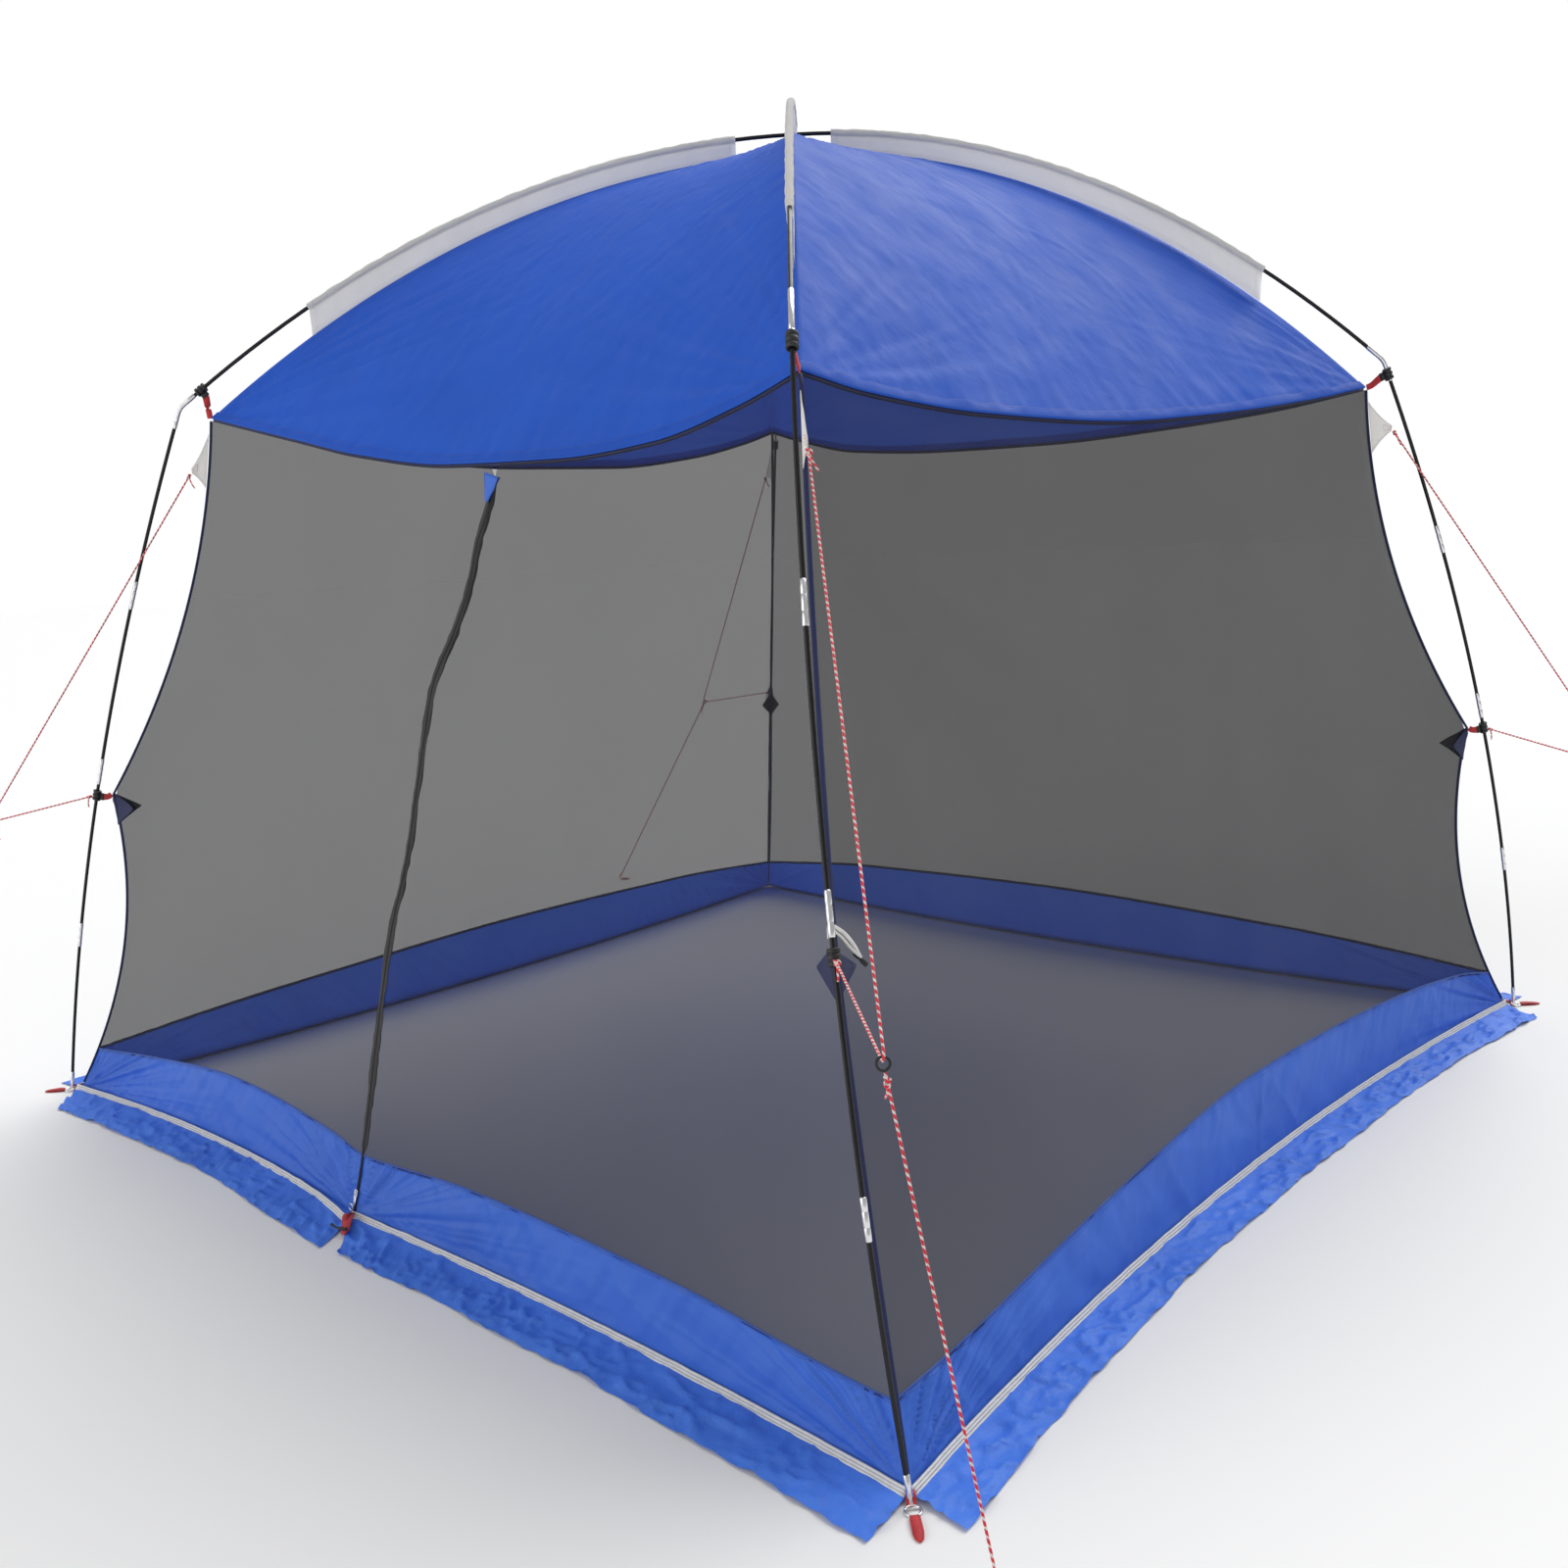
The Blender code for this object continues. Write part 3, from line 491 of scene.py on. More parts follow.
def tube_shape(points, radii, sides=12):
    """(points, faces) of a round tube along points, with its own radius at each."""
    points = np.asarray(points, float)
    radii = np.broadcast_to(np.asarray(radii, float), (len(points),))
    _, across, over = frames_along(points)
    rings = ring_points(points, radii[:, None, None], across, over, sides)
    return rings.reshape(-1, 3), prism_faces(len(points), sides)


def loop_shape(points, radius, sides=8):
    """(points, faces) of a round tube along a closed loop of points."""
    points = np.asarray(points, float)
    _, across, over = frames_along(points, closed=True)
    rings = ring_points(points, radius, across, over, sides)
    count = len(points)
    faces = grid_faces(count + 1, sides, closed=True) % (count * sides)
    return rings.reshape(-1, 3), [tuple(f) for f in faces]


# A strap's outline, as shares of its width and its thickness.
STRAP_OUTLINE = (
    (-0.5, 0.0), (-0.47, 0.42), (0.0, 0.5), (0.47, 0.42), (0.5, 0.0), (0.47, -0.42), (0.0, -0.5), (-0.47, -0.42),
)


def ribbon_shape(points, across, width, thickness):
    """(points, faces) of a flat strap along points, with across as its width's direction at each, and soft edges."""
    points = np.asarray(points, float)
    across = np.broadcast_to(np.asarray(across, float), points.shape)
    width = np.broadcast_to(np.asarray(width, float), (len(points),))
    tangents = np.gradient(points, axis=0)
    rings = []
    for point, side, tangent, wide in zip(points, across, tangents, width):
        side = unit(side - tangent * side.dot(tangent) / tangent.dot(tangent))
        up = unit(np.cross(tangent, side))
        rings.append([point + side * a * wide + up * b * thickness for a, b in STRAP_OUTLINE])
    return np.array(rings).reshape(-1, 3), prism_faces(len(points), len(STRAP_OUTLINE))


def box_shape(centre, along, across, size, bevel=0.15):
    """(points, faces) of a block with chamfered edges."""
    x, y = unit(along), unit(across)
    z = np.cross(x, y)
    half = np.array(size) / 2
    cut = min(size) * bevel
    outline = []
    for sx, sy in ((-1, -1), (1, -1), (1, 1), (-1, 1)):
        corner = [(sx * (half[0] - cut), sy * half[1]), (sx * half[0], sy * (half[1] - cut))]
        outline += corner if sx * sy > 0 else corner[::-1]
    order = sorted(outline, key=lambda p: math.atan2(p[1], p[0]))
    rings = []
    for height, shrink in ((-half[2], cut), (-half[2] + cut, 0), (half[2] - cut, 0), (half[2], cut)):
        for a, b in order:
            a2 = math.copysign(max(abs(a) - shrink, 0), a)
            b2 = math.copysign(max(abs(b) - shrink, 0), b)
            rings.append(vec(centre) + x * a2 + y * b2 + z * height)
    return np.array(rings), prism_faces(4, 8)


def joined(*shapes):
    """Several (points, faces) shapes as one."""
    points, faces, start = [], [], 0
    for p, f in shapes:
        points.append(np.asarray(p))
        faces += [tuple(k + start for k in face) for face in f]
        start += len(p)
    return np.concatenate(points), faces


def thicken(piece, thickness):
    """Gives a single sheet of cloth its thickness."""
    thick = piece.modifiers.new("cloth", "SOLIDIFY")
    thick.thickness, thick.offset = thickness, 0


def box_middle(name):
    low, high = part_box(name)
    return (vec(low) + vec(high)) / 2


# ---- Materials ----


def principled(m):
    return m.node_tree.nodes["Principled BSDF"]


def shader(name, colour, roughness, metallic=0.0, **inputs):
    m = bpy.data.materials.new(name)
    m.use_nodes = True
    bsdf = principled(m)
    bsdf.inputs["Base Color"].default_value = (*colour, 1)
    bsdf.inputs["Roughness"].default_value = roughness
    bsdf.inputs["Metallic"].default_value = metallic
    for key, value in inputs.items():
        bsdf.inputs[key.replace("_", " ")].default_value = value
    m.diffuse_color = (*colour, 1)
    return m


def node(m, kind, **settings):
    made = m.node_tree.nodes.new(kind)
    for key, value in settings.items():
        if key in made.inputs:
            made.inputs[key].default_value = value
        else:
            setattr(made, key, value)
    return made


def link(m, start, end):
    m.node_tree.links.new(start, end)


def mapped(m, place, scale=(1, 1, 1)):
    mapping = node(m, "ShaderNodeMapping")
    mapping.inputs["Scale"].default_value = scale
    link(m, place, mapping.inputs["Vector"])
    return mapping.outputs["Vector"]


def object_coordinates(m, scale=(1, 1, 1)):
    return mapped(m, node(m, "ShaderNodeTexCoord").outputs["Object"], scale)


def cloth_coordinates(m):
    return mapped(m, node(m, "ShaderNodeUVMap", uv_map="cloth").outputs["UV"])


def vary_colour(m, dark, light, scale, detail=4.0):
    """The base colour wanders between two shades."""
    bsdf = principled(m)
    texture = node(m, "ShaderNodeTexNoise", Scale=scale, Detail=detail, Roughness=0.6)
    link(m, object_coordinates(m), texture.inputs["Vector"])
    ramp = node(m, "ShaderNodeValToRGB")
    ramp.color_ramp.elements[0].position, ramp.color_ramp.elements[1].position = 0.35, 0.65
    ramp.color_ramp.elements[0].color, ramp.color_ramp.elements[1].color = (*dark, 1), (*light, 1)
    link(m, texture.outputs["Fac"], ramp.inputs["Fac"])
    link(m, ramp.outputs["Color"], bsdf.inputs["Base Color"])


def vary_roughness(m, low, high, scale):
    """The roughness wanders between two values."""
    bsdf = principled(m)
    texture = node(m, "ShaderNodeTexNoise", Scale=scale, Detail=3.0)
    link(m, object_coordinates(m), texture.inputs["Vector"])
    spread = node(m, "ShaderNodeMapRange")
    spread.inputs["From Min"].default_value, spread.inputs["From Max"].default_value = 0.3, 0.7
    spread.inputs["To Min"].default_value, spread.inputs["To Max"].default_value = low, high
    link(m, texture.outputs["Fac"], spread.inputs["Value"])
    link(m, spread.outputs["Result"], bsdf.inputs["Roughness"])


def add_bump(m, height, strength, distance):
    """Adds a height to the surface's bump, on top of any it has."""
    bsdf = principled(m)
    bump = node(m, "ShaderNodeBump", Strength=strength, Distance=distance)
    link(m, height, bump.inputs["Height"])
    before = bsdf.inputs["Normal"].links
    if before:
        link(m, before[0].from_socket, bump.inputs["Normal"])
    link(m, bump.outputs["Normal"], bsdf.inputs["Normal"])


def noise_height(m, scale, detail=4.0, distortion=0.0, stretch=(1, 1, 1)):
    texture = node(m, "ShaderNodeTexNoise", Scale=scale, Detail=detail, Roughness=0.55, Distortion=distortion)
    link(m, object_coordinates(m, stretch), texture.inputs["Vector"])
    return texture.outputs["Fac"]


def weave_height(m, threads_per_metre):
    """A plain weave: two sets of threads crossing, as a height."""
    heights = []
    for direction in ("X", "Y"):
        wave = node(m, "ShaderNodeTexWave", Scale=threads_per_metre / 20, Distortion=0.4)
        wave.bands_direction = direction
        link(m, cloth_coordinates(m), wave.inputs["Vector"])
        heights.append(wave.outputs["Fac"])
    both = node(m, "ShaderNodeMath", operation="MULTIPLY")
    link(m, heights[0], both.inputs[0])
    link(m, heights[1], both.inputs[1])
    return both.outputs["Value"]


def coated_cloth(name, dark, light, roughness, sheen=0.15, crinkle=0.35, through=None, share=0.3, specular=0.4):
    """Coated polyester. through is the colour of the light that comes through it, and share how much does."""
    m = shader(name, light, roughness, Sheen_Weight=sheen, Sheen_Roughness=0.4)
    surface = principled(m)
    surface.inputs["Specular IOR Level"].default_value = specular
    if through:
        thin = node(m, "ShaderNodeBsdfTranslucent")
        thin.inputs["Color"].default_value = (*through, 1)
        mix = node(m, "ShaderNodeMixShader")
        mix.inputs["Fac"].default_value = share
        link(m, surface.outputs["BSDF"], mix.inputs[1])
        link(m, thin.outputs["BSDF"], mix.inputs[2])
        link(m, mix.outputs["Shader"], m.node_tree.nodes["Material Output"].inputs["Surface"])
    vary_colour(m, dark, light, 2.2)
    vary_roughness(m, roughness - 0.06, roughness + 0.08, 9)
    add_bump(m, noise_height(m, 26, 6.0, 0.6), crinkle, 0.004)
    add_bump(m, noise_height(m, 110, 4.0, 0.3), crinkle * 0.6, 0.0012)
    add_bump(m, weave_height(m, 1600), 0.12, 0.00015)
    return m


CANOPY = coated_cloth(
    "canopy_cloth", (0.026, 0.134, 0.68), (0.031, 0.154, 0.77), 0.52, 0.02, 0.45,
    through=(0.03, 0.11, 0.62), share=0.36, specular=0.14,
)
BAND = coated_cloth(
    "band_cloth", (0.062, 0.19, 0.74), (0.078, 0.225, 0.84), 0.48, 0.03,
    through=(0.05, 0.17, 0.85), share=0.25, specular=0.3,
)
SKIRT = coated_cloth("skirt_cloth", (0.058, 0.190, 0.74), (0.075, 0.230, 0.86), 0.50, 0.03, crinkle=1.0, specular=0.3)
BINDING = coated_cloth("blue_binding", (0.030, 0.085, 0.36), (0.040, 0.110, 0.44), 0.60, crinkle=0.2)
SLEEVE = coated_cloth(
    "sleeve_cloth", (0.84, 0.83, 0.80), (0.92, 0.91, 0.88), 0.70, 0.05, 0.25,
    through=(0.96, 0.95, 0.93), share=0.5,
)
NAVY = coated_cloth("navy_tape", (0.010, 0.014, 0.062), (0.016, 0.022, 0.090), 0.62, crinkle=0.2)


def netting_material(name, opacity):
    """Dark netting, too fine to draw its holes: it lets the rest of the light through."""
    m = shader(name, (0.020, 0.020, 0.023), 0.85, Alpha=opacity)
    principled(m).inputs["Specular IOR Level"].default_value = 0.25
    vary_colour(m, (0.017, 0.017, 0.020), (0.026, 0.026, 0.029), 3.0, 5.0)
    add_bump(m, weave_height(m, 700), 0.3, 0.0003)
    m.surface_render_method = "DITHERED"
    return m


# The right and back walls get a more opaque copy of the netting, which shows darker: painted shade for the front sun
# that does not reach them.
NETTING = netting_material("open_netting", 0.58)
SHADED_NETTING = netting_material("shaded_netting", 0.69)


def ribbed_webbing(name, dark, light):
    m = shader(name, light, 0.6, Sheen_Weight=0.2)
    vary_colour(m, dark, light, 60.0)
    wave = node(m, "ShaderNodeTexWave", Scale=180.0, Distortion=1.5)
    link(m, object_coordinates(m), wave.inputs["Vector"])
    add_bump(m, wave.outputs["Fac"], 0.4, 0.0004)
    add_bump(m, noise_height(m, 500, 3.0), 0.3, 0.0003)
    return m


RED_WEBBING = ribbed_webbing("red_webbing", (0.42, 0.010, 0.014), (0.58, 0.018, 0.022))
WHITE_TAPE = ribbed_webbing("white_tape", (0.78, 0.77, 0.74), (0.88, 0.87, 0.84))
GREY_TAPE = ribbed_webbing("grey_tape", (0.44, 0.45, 0.46), (0.52, 0.53, 0.54))


def yarn(name, dark, light):
    """The fuzzy yarn that the ropes are braided from."""
    m = shader(name, light, 0.75, Sheen_Weight=0.3)
    vary_colour(m, dark, light, 300.0)
    add_bump(m, noise_height(m, 1400, 3.0, 0.5, (1, 1, 2)), 0.6, 0.0004)
    return m


ROPE_RED = yarn("rope_red_yarn", (0.62, 0.008, 0.020), (0.78, 0.014, 0.032))
ROPE_WHITE = yarn("rope_white_yarn", (0.70, 0.64, 0.62), (0.84, 0.80, 0.78))


def rod_material():
    m = shader("black_fibreglass", (0.004, 0.004, 0.0045), 0.26)
    principled(m).inputs["Specular IOR Level"].default_value = 0.35
    vary_colour(m, (0.003, 0.003, 0.0035), (0.007, 0.0065, 0.006), 40.0)
    vary_roughness(m, 0.22, 0.32, 60)
    add_bump(m, noise_height(m, 90, 3.0, 0.0, (1, 1, 0.15)), 0.12, 0.0004)
    return m


def metal_material(name, colour, roughness):
    m = shader(name, colour, roughness, 1.0)
    vary_colour(m, tuple(c * 0.93 for c in colour), colour, 9.0)
    vary_roughness(m, roughness - 0.05, roughness + 0.07, 40)
    add_bump(m, noise_height(m, 160, 2.0, 0.0, (1, 1, 0.1)), 0.03, 0.0002)
    return m


def plastic_material():
    m = shader("black_plastic", (0.012, 0.012, 0.013), 0.45)
    vary_colour(m, (0.010, 0.010, 0.011), (0.020, 0.020, 0.021), 80.0)
    vary_roughness(m, 0.38, 0.55, 150)
    add_bump(m, noise_height(m, 700, 4.0), 0.25, 0.0003)
    return m


ROD = rod_material()
STEEL = metal_material("bright_steel", (0.80, 0.80, 0.81), 0.24)
PLASTIC = plastic_material()
ZIP_TAPE = ribbed_webbing("zip_tape", (0.006, 0.006, 0.007), (0.014, 0.014, 0.015))
ZIP_TEETH = shader("zip_teeth", (0.012, 0.012, 0.013), 0.35)
add_bump(ZIP_TEETH, noise_height(ZIP_TEETH, 900, 2.0), 0.2, 0.0002)


# ---- Camera, floor and light ----


def placing(x, y, z, place):
    """The matrix of an object with these axes at this place."""
    return Matrix([(x[k], y[k], z[k], place[k]) for k in range(3)] + [(0, 0, 0, 1)])


def make_camera():
    data = bpy.data.cameras.new("camera")
    data.lens, data.sensor_width, data.shift_y = 32.625, 36.0, 0.1875
    camera = bpy.data.objects.new("camera", data)
    right, up, back = (0.73867, 0.67219, -0.05027), (-0.20671, 0.29687, 0.93228), (0.64159, -0.67825, 0.35824)
    camera.matrix_world = placing(right, up, back, (2.656, -2.886, 1.4165))
    bpy.context.scene.collection.objects.link(camera)
    bpy.context.scene.camera = camera


# Each sun's strength, its width in degrees and the way that its light travels.
SUNS = {"back_sun": (2.4, 55, (0.1, -0.62, -0.78)), "front_sun": (1.1, 60, (0.45, 0.85, -0.25))}
FLOOR_REACH = 60.0


def make_studio():
    """A white world that lights less than it shows, two soft suns and a pale floor."""
    scene = bpy.context.scene
    scene.view_settings.view_transform = "Standard"
    world = bpy.data.worlds.new("studio")
    scene.world = world
    world.use_nodes = True
    tree = world.node_tree
    background = tree.nodes["Background"]
    path = tree.nodes.new("ShaderNodeLightPath")
    strength = tree.nodes.new("ShaderNodeMapRange")
    strength.inputs["To Min"].default_value, strength.inputs["To Max"].default_value = 0.45, 1.0
    tree.links.new(path.outputs["Is Camera Ray"], strength.inputs["Value"])
    tree.links.new(strength.outputs["Result"], background.inputs["Strength"])
    background.inputs["Color"].default_value = (1, 1, 1, 1)
    for name, (energy, spread, towards) in SUNS.items():
        data = bpy.data.lights.new(name, "SUN")
        data.energy, data.angle = energy, math.radians(spread)
        lamp = bpy.data.objects.new(name, data)
        z = -unit(vec(towards))
        x = unit(np.cross((0, 0, 1), z))
        lamp.matrix_world = placing(x, np.cross(z, x), z, (0, 0, 0))
        scene.collection.objects.link(lamp)
    floor = bpy.data.meshes.new("floor")
    half = FLOOR_REACH
    floor.from_pydata([(-half, -half, 0), (half, -half, 0), (half, half, 0), (-half, half, 0)], [], [(0, 1, 2, 3)])
    made = new_object("studio_floor", floor, shader("pale_floor", (0.88, 0.88, 0.88), 0.9), body=None)


# ---- Ropes ----


def rope_piece(name, points, radius=ROPE_RADIUS, closed=False):
    """A rope whose red and white yarns wind round it."""
    sides = 8
    shape = loop_shape(points, radius, sides) if closed else tube_shape(points, radius, sides)
    lengths = lengths_along(points)
    rows = len(points) if closed else len(points) - 1
    turn = np.arange(sides)[None, :] / sides
    wind = (lengths[:rows, None] / ROPE_PITCH + turn) % 1.0
    finish = (wind < WHITE_SHARE).astype(int).ravel()
    caps = [0] * (len(shape[1]) - rows * sides)
    made = mesh_piece(name, *shape, [ROPE_RED, ROPE_WHITE], face_materials=[*finish, *caps])
    return made


def knot_piece(name, centre, along, size):
    """A tied lump of rope: one closed curve that winds through itself."""
    along = unit(vec(along))
    side = unit(np.cross(along, UP if abs(along[2]) < 0.9 else vec(1, 0, 0)))
    over = np.cross(along, side)
    t = circle(44)
    a, b, c = np.sin(t) + 2 * np.sin(2 * t), np.cos(t) - 2 * np.cos(2 * t), -np.sin(3 * t)
    curve = vec(centre) + (a[:, None] * along * 1.35 + b[:, None] * side + c[:, None] * over * 1.3) * (size / 6)
    return rope_piece(name, curve, KNOT_ROPE_RADIUS, closed=True)


def tab_points(corner):
    """The guy tab's top and bottom on the corner seam, and its tip."""
    out = -inward(corner)
    top = seam_point(corner, 0.985) + out * 0.008
    bottom = seam_point(corner, 0.915) + out * 0.008
    return top, bottom, vec(TAB_TIP[corner])


def bridle_route(corner):
    """The bridle from the guy tab round the ring's wire and back to the side clip, and the ring's axis."""
    _, _, tip = tab_points(corner)
    ring, end_point = vec(GUY_RING[corner]), vec(GUY_END[corner])
    clip = leg_point(corner, SIDE_CLIP_SHARE * EAVE[corner][2])
    flat = unit(np.cross(tip - ring, clip - ring))
    pull = unit(end_point - ring)
    pull = unit(pull - flat * pull.dot(flat))
    wire = ring - pull * GUY_RING_RADIUS
    start = tip + unit(wire - tip) * TAB_BLUNT
    end = clip + unit(wire - clip) * (SIDE_CLIP_RADIUS + 0.004)
    up, back = unit(start - wire), unit(end - wire)
    away, across = -unit(up + back), unit(up - back)
    wrap = (math.pi - math.acos(up.dot(back))) / 2
    turns = [wrap * share for share in BRIDLE_TURN]
    arc = [wire + away * BRIDLE_SHIFT + BRIDLE_BEND * (away * math.cos(t) + across * math.sin(t)) for t in turns]
    return start, arc, end, np.cross(flat, pull), ring


def loose_end(name, points):
    """A knot's cut end of rope."""
    return rope_piece(name, spline(points, step=0.002), LOOSE_ROPE_RADIUS)


def make_guy(corner):
    """One corner's bridle, its ring and its guy line down to the ground, with their knots."""
    start, arc, end, axis, ring = bridle_route(corner)
    up = [lerp(start, arc[0], t) for t in np.linspace(0, 1, 9)[:-1]]
    down = [lerp(arc[-1], end, t) for t in np.linspace(0, 1, 9)[1:]]
    route = np.array([*up, *arc, *down])
    fine = respaced(route, step=ROPE_STEP)
    bridle = rope_piece(f"{corner}_bridle_rope", fine)
    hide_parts(f"{corner}_bridle")
    pull = unit(vec(GUY_END[corner]) - ring)
    first = ring + pull * (GUY_RING_RADIUS + GUY_RING_WIRE + ROPE_GAP)
    last = vec(GUY_END[corner])
    line = np.linspace(first, last, max(8, int(np.linalg.norm(last - first) / ROPE_STEP)))
    guy = rope_piece(f"{corner}_guy_rope", line)
    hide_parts(f"{corner}_guy_line")
    t = circle(32)
    side = unit(np.cross(axis, UP))
    over = unit(np.cross(axis, side))
    hoop = ring + GUY_RING_RADIUS * (np.cos(t)[:, None] * side + np.sin(t)[:, None] * over)
    hoop_piece = mesh_piece(f"{corner}_black_ring", *loop_shape(hoop, GUY_RING_WIRE, 10), PLASTIC)
    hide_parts(f"{corner}_guy_ring")
    for name, place, along, tail in (
        ("top_knot", start + unit(arc[0] - start) * 0.006, arc[0] - start, vec(0.37, 0.34, -0.8)),
        ("clip_knot", end + unit(arc[-1] - end) * 0.007, arc[-1] - end, vec(0, 0, -1)),
    ):
        knot_piece(f"{corner}_{name}", place, along, 0.010)
        hang, on = unit(tail), unit(along)
        points = [place, place + hang * 0.012 + on * 0.006, place + hang * 0.026 + on * 0.008]
        loose_end(f"{corner}_{name}_tail", points)
    lower = first + pull * 0.012
    knot = knot_piece(f"{corner}_ring_knot", lower, pull, 0.011)
    tail = unit(inward(corner) * 0.5 - UP)
    points = [lower, lower + tail * 0.012 + pull * 0.004, lower + tail * 0.036 - pull * 0.004]
    tail_piece = loose_end(f"{corner}_ring_knot_tail", points)
    flat_pull = unit(vec(pull[0], pull[1], 0))
    beside = vec(-flat_pull[1], flat_pull[0], 0)
    knot_end = knot_piece(f"{corner}_end_knot", last - pull * 0.012 + UP * 0.004, pull, 0.010)
    turn = np.cos(t)[:, None] * flat_pull * 1.1 + np.sin(t)[:, None] * beside * 0.75
    loop = last - flat_pull * 0.026 + 0.018 * turn
    loop[:, 2] = ROPE_RADIUS + 0.0003
    loop_piece = rope_piece(f"{corner}_end_loop", loop, closed=True)


make_camera()
make_studio()
for corner in CORNERS:
    make_guy(corner)


# ---- Poles ----


def pole_piece(name, rows, nodes, sides=16):
    """rows are (point, radius, finish): finish 0 is the black rod and 1 the bright metal."""
    points, radii, finishes = [r[0] for r in rows], [r[1] for r in rows], [r[2] for r in rows]
    shape = tube_shape(points, radii, sides)
    rings = np.minimum(finishes[:-1], finishes[1:])
    made = mesh_piece(name, *shape, [ROD, STEEL], face_materials=[*np.repeat(rings, sides), finishes[0], finishes[-1]])
    made.data.set_sharp_from_angle(angle=math.radians(40))
    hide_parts(*nodes)
    return made


def ferrule_rows(place, low, high):
    """A bright tube with rolled ends and two shallow crimps, from low to high along place(height)."""
    r = FERRULE_RADIUS
    middle = (low + high) / 2
    rows = [(low, r - 0.0008), (low + 0.0012, r)]
    for at in (middle - 0.012, middle + 0.012):
        rows += [(at - 0.0016, r), (at - 0.0005, r - 0.0005), (at + 0.0005, r - 0.0005), (at + 0.0016, r)]
    rows += [(high - 0.0012, r), (high, r - 0.0008)]
    return [(place(h), size, 1) for h, size in rows]


def rod_rows(place, low, high, steps=9):
    """The plain black rod from low to high along place(height)."""
    return [(place(low + (high - low) * k / steps), ROD_RADIUS, 0) for k in range(steps + 1)]


def tip_rows(place, start, collar):
    """The metal tip at the foot: a narrow end that the ring's pin enters, then the tube."""
    r = FERRULE_RADIUS
    rows = [(start, 0.0024), (start + 0.002, 0.0030), (start + 0.012, 0.0030), (start + 0.0135, 0.0046)]
    rows += [(start + 0.016, r), (collar - 0.001, r), (collar, r - 0.0008)]
    return [(place(h), size, 1) for h, size in rows]


def elbow_rows(corner, place, end):
    """The bent metal tube that joins the leg to the roof pole, from the rod's end."""
    r, eave = FERRULE_RADIUS, vec(EAVE[corner])
    reach = ELBOW_REACH / np.linalg.norm(eave - APEX)
    bend = [place(eave[2] - 0.020), place(eave[2] - 0.011)]
    tops = [roof_point(corner, 1 - reach * share) for share in (0.25, 0.42)]
    middle = [lerp(lerp(bend[1], eave, t), lerp(eave, tops[0], t), t) for t in (0.25, 0.5, 0.75)]
    collar = ((0.0004, r - 0.0006), (0.0016, r), (0.014, r), (0.0150, r - 0.0005), (0.016, r))
    rows = [(place(end + h), size, 1) for h, size in collar]
    rows += [(p, r - 0.0004, 1) for p in (*bend, *middle, *tops)]
    rows += [(roof_point(corner, 1 - reach * share), r, 1) for share in (0.5, 0.97)]
    return [*rows, (roof_point(corner, 1 - reach), r - 0.0007, 1)]


def make_leg(corner):
    """A leg's four sections, from the foot to the eave."""
    eave = EAVE[corner][2]
    place = lambda h: leg_point(corner, h)
    ferrules = [share * eave for share in FERRULE_SHARES]
    half = FERRULE_LENGTH / 2
    starts = [FOOT_CLEARANCE] + [f - half for f in ferrules]
    ends = [f - half - SECTION_GAP for f in ferrules] + [eave - ELBOW_REACH]
    collars = [TIP_HEIGHT] + [f + half for f in ferrules]
    names = ("lower_rod", "lower_middle_rod", "upper_middle_rod", "top_rod_and_elbow")
    for k, name in enumerate(names):
        start, end, collar = starts[k], ends[k], collars[k]
        rows = ferrule_rows(place, start, collar) if k > 0 else tip_rows(place, start, collar)
        rows += rod_rows(place, collar + COLLAR_GAP, end)
        if k == 3:
            rows += elbow_rows(corner, place, end)
        pole_piece(f"{corner}_{name}_pole", rows, [f"{corner}_{name}"])


def make_roof_arc(name, first, last):
    """One roof pole, from elbow to elbow."""
    reach = [1 - ELBOW_REACH / np.linalg.norm(vec(EAVE[c]) - APEX) - SECTION_GAP for c in (first, last)]
    steps = 30
    rows = [(roof_point(first, reach[0] * (1 - k / steps)), ROD_RADIUS, 0) for k in range(steps)]
    rows += [(roof_point(last, reach[1] * k / steps), ROD_RADIUS, 0) for k in range(steps + 1)]
    pole_piece(f"{name}_roof_pole", rows, [f"{name}_roof_arc"])


for corner in CORNERS:
    make_leg(corner)
for name, (first, last) in POLES.items():
    make_roof_arc(name, first, last)


# ---- Canopy ----


def fan(x, y, centre, reach, rays, depth, seed):
    """Folds that run out from a point and fade."""
    dx, dy = x - centre[0], y - centre[1]
    far = np.hypot(dx, dy) + 1e-6
    ring = rays / (2 * math.pi)
    across, along = dx / far * ring + seed, dy / far * ring + seed
    folds = 0.55 * noise(across, along, seed) + 0.45 * (creases(across * 1.7, along * 1.7, seed + 5) - 0.5)
    return depth * (far / reach) * np.exp(1 - far / reach) * folds * np.minimum(1, far / 0.04)


def canopy_panel(side, rows, columns):
    """One of the roof's four panels, from the top down to its hem."""
    first, last = SIDES[side]
    shares = np.linspace(0, 1, rows)
    u = np.linspace(0, 1, columns)
    start = np.array([ridge_point(first, s) for s in shares])
    end = np.array([ridge_point(last, s) for s in shares])
    hem = np.array([hem_point(side, k) for k in u])
    grid = (1 - u)[None, :, None] * start[:, None] + u[None, :, None] * end[:, None]
    drop = hem - lerp(start[-1], end[-1], u[:, None])
    grid += drop[None] * (shares**2)[:, None, None]
    return relaxed(grid, 300)


# A roof panel's width along its hem, and its ridge's length, in metres.
PANEL_WIDTH, RIDGE_LENGTH = 2.05, 1.5


